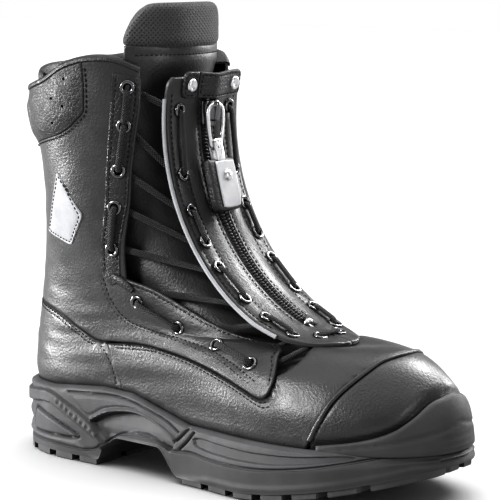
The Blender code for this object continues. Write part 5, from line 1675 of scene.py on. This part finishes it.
def relieved(places, angles, top, bottom):
    """Places moved in or out by the wall's relief, fading at the lip and the tread's edge."""
    out = wall_relief(places[:, 0] / MM, places[:, 2] / MM) * MM
    fade = ease((top - places[:, 2]) / (2.5 * MM)) * ease((places[:, 2] - bottom + 1.5 * MM) / (2 * MM))
    return places + level_normal(angles) * (out * fade)[:, None]


def build_sole():
    half = half_angles(0.85 * MM)
    angles = np.concatenate([half, -half[-2:0:-1]])
    keys = wall_keys(angles)
    top = keys[0][:, 2]
    base_x = keys[TOP_OF_OUTSOLE][:, 0]
    split = np.minimum(split_height(base_x), top - 2.0 * MM)
    bottom = tread(keys[-1][:, 0])

    def wall_rows(high, low, count):
        rows = []
        for share in np.linspace(0, 1, count):
            heights = high + (low - high) * share
            rows.append(relieved(wall_at(keys, heights, angles), angles, top, bottom))
        return rows

    tuck = 2.2 * MM * round_toe(angles)
    lip = [level(angles, -9 * MM, lambda x: foot_plane(x) - 0.6 * MM),
           level(angles, 0.2 * MM, lambda x: foot_plane(x) - 0.6 * MM),
           cup(angles, 0.5 * MM, 0.6 * MM), cup(angles, 1.3 * MM, -0.2 * MM),
           cup(angles, 2.6 * MM - tuck, -0.3 * MM)]
    rings = lip + wall_rows(top - 0.3 * MM, split + 0.15 * MM, 50)
    inner = level(angles, -6 * MM, lambda x: 0 * x)
    inner[:, 2] = np.minimum(split + 0.15 * MM, foot_plane(inner[:, 0]) - 3 * MM)
    rings.append(inner)
    body = ring_solid("midsole_wall", rings, MIDSOLE)
    settle(body, "boot", ["midsole"])

    floor = tread(base_x) + LUG
    inner = level(angles, -6 * MM, lambda x: 0 * x)
    inner[:, 2] = np.minimum(split - 0.1 * MM, foot_plane(inner[:, 0]) - 3.3 * MM)
    low_rows = wall_rows(split - 0.1 * MM, np.minimum(floor, split - 1.0 * MM), 12)
    body = ring_solid("outsole_wall", [inner] + low_rows, RUBBER)
    settle(body, "boot", ["outsole"])
    build_tread(angles, keys)


def build_tread(angles, keys):
    """Lugs between the cross grooves: an edge lug on each side and a wide middle lug in each row."""
    sides = {}
    for sign in (-1, 1):
        pick = np.sign(angles) == sign
        line = keys[-1][pick]
        order = np.argsort(line[:, 0])
        sides[sign] = line[order]
    x_low, x_high = keys[-1][:, 0].min(), keys[-1][:, 0].max()
    cuts = [(x * MM - GROOVE / 2, x * MM + GROOVE / 2) for x in GROOVES]
    cuts.insert(3, (ARCH_BACK - 1.5 * MM, ARCH_FRONT + 1.5 * MM))
    starts = [x_low + 0.4 * MM] + [b for _, b in cuts]
    ends = [a for a, _ in cuts] + [x_high - 0.4 * MM]

    def edge(sign, x):
        return np.interp(x, sides[sign][:, 0], sides[sign][:, 1])

    number = 0
    for start, end in zip(starts, ends):
        x = np.linspace(start, end, 9)
        outer, inner = edge(-1, x), edge(1, x)
        width = inner - outer
        stepped = 0.30 * width
        for kind, low, high in (("outer", outer, outer + stepped - LUG_ROOM / 2),
                                ("middle", outer + stepped + LUG_ROOM / 2, inner - stepped - LUG_ROOM / 2),
                                ("inner", inner - stepped + LUG_ROOM / 2, inner)):
            keep = (high - low) > LUG_LEAST
            if keep.sum() < 4:
                continue
            xs, low, high = x[keep], low[keep], high[keep]
            number += 1
            loop = np.vstack([np.stack([xs, low], axis=1), np.stack([xs, high], axis=1)[::-1]])
            middle = loop.mean(axis=0)
            reach = np.maximum(np.linalg.norm(loop - middle, axis=1, keepdims=True), 1e-6)
            rings = []
            for height, shrink in ((LUG + 1.2 * MM, 0.0), (0.7 * MM, 0.25 * MM), (0.0, 0.95 * MM)):
                flat = loop - (loop - middle) / reach * shrink
                rings.append(np.column_stack([flat, tread(flat[:, 0]) + height]))
            k = len(loop)
            verts = np.vstack(rings)
            faces = [(i * k + j, i * k + (j + 1) % k, (i + 1) * k + (j + 1) % k, (i + 1) * k + j)
                     for i in range(2) for j in range(k)]
            n = len(xs)
            for base in (0, 2 * k):
                faces += [(base + j, base + j + 1, base + k - j - 2, base + k - j - 1) for j in range(n - 1)]
            lug = add_mesh("tread_lug_%s_%d" % (kind, number), verts, faces, RUBBER, sharp=30)
            settle(lug, "boot")


build_sole()
build_quarters()
build_vamp()
build_toe_guard()
build_heel()
build_collar()
build_eyestays()
build_eyelets()
build_tongue()
build_insert()
build_slider()
build_puller()
build_strap()
build_lace()
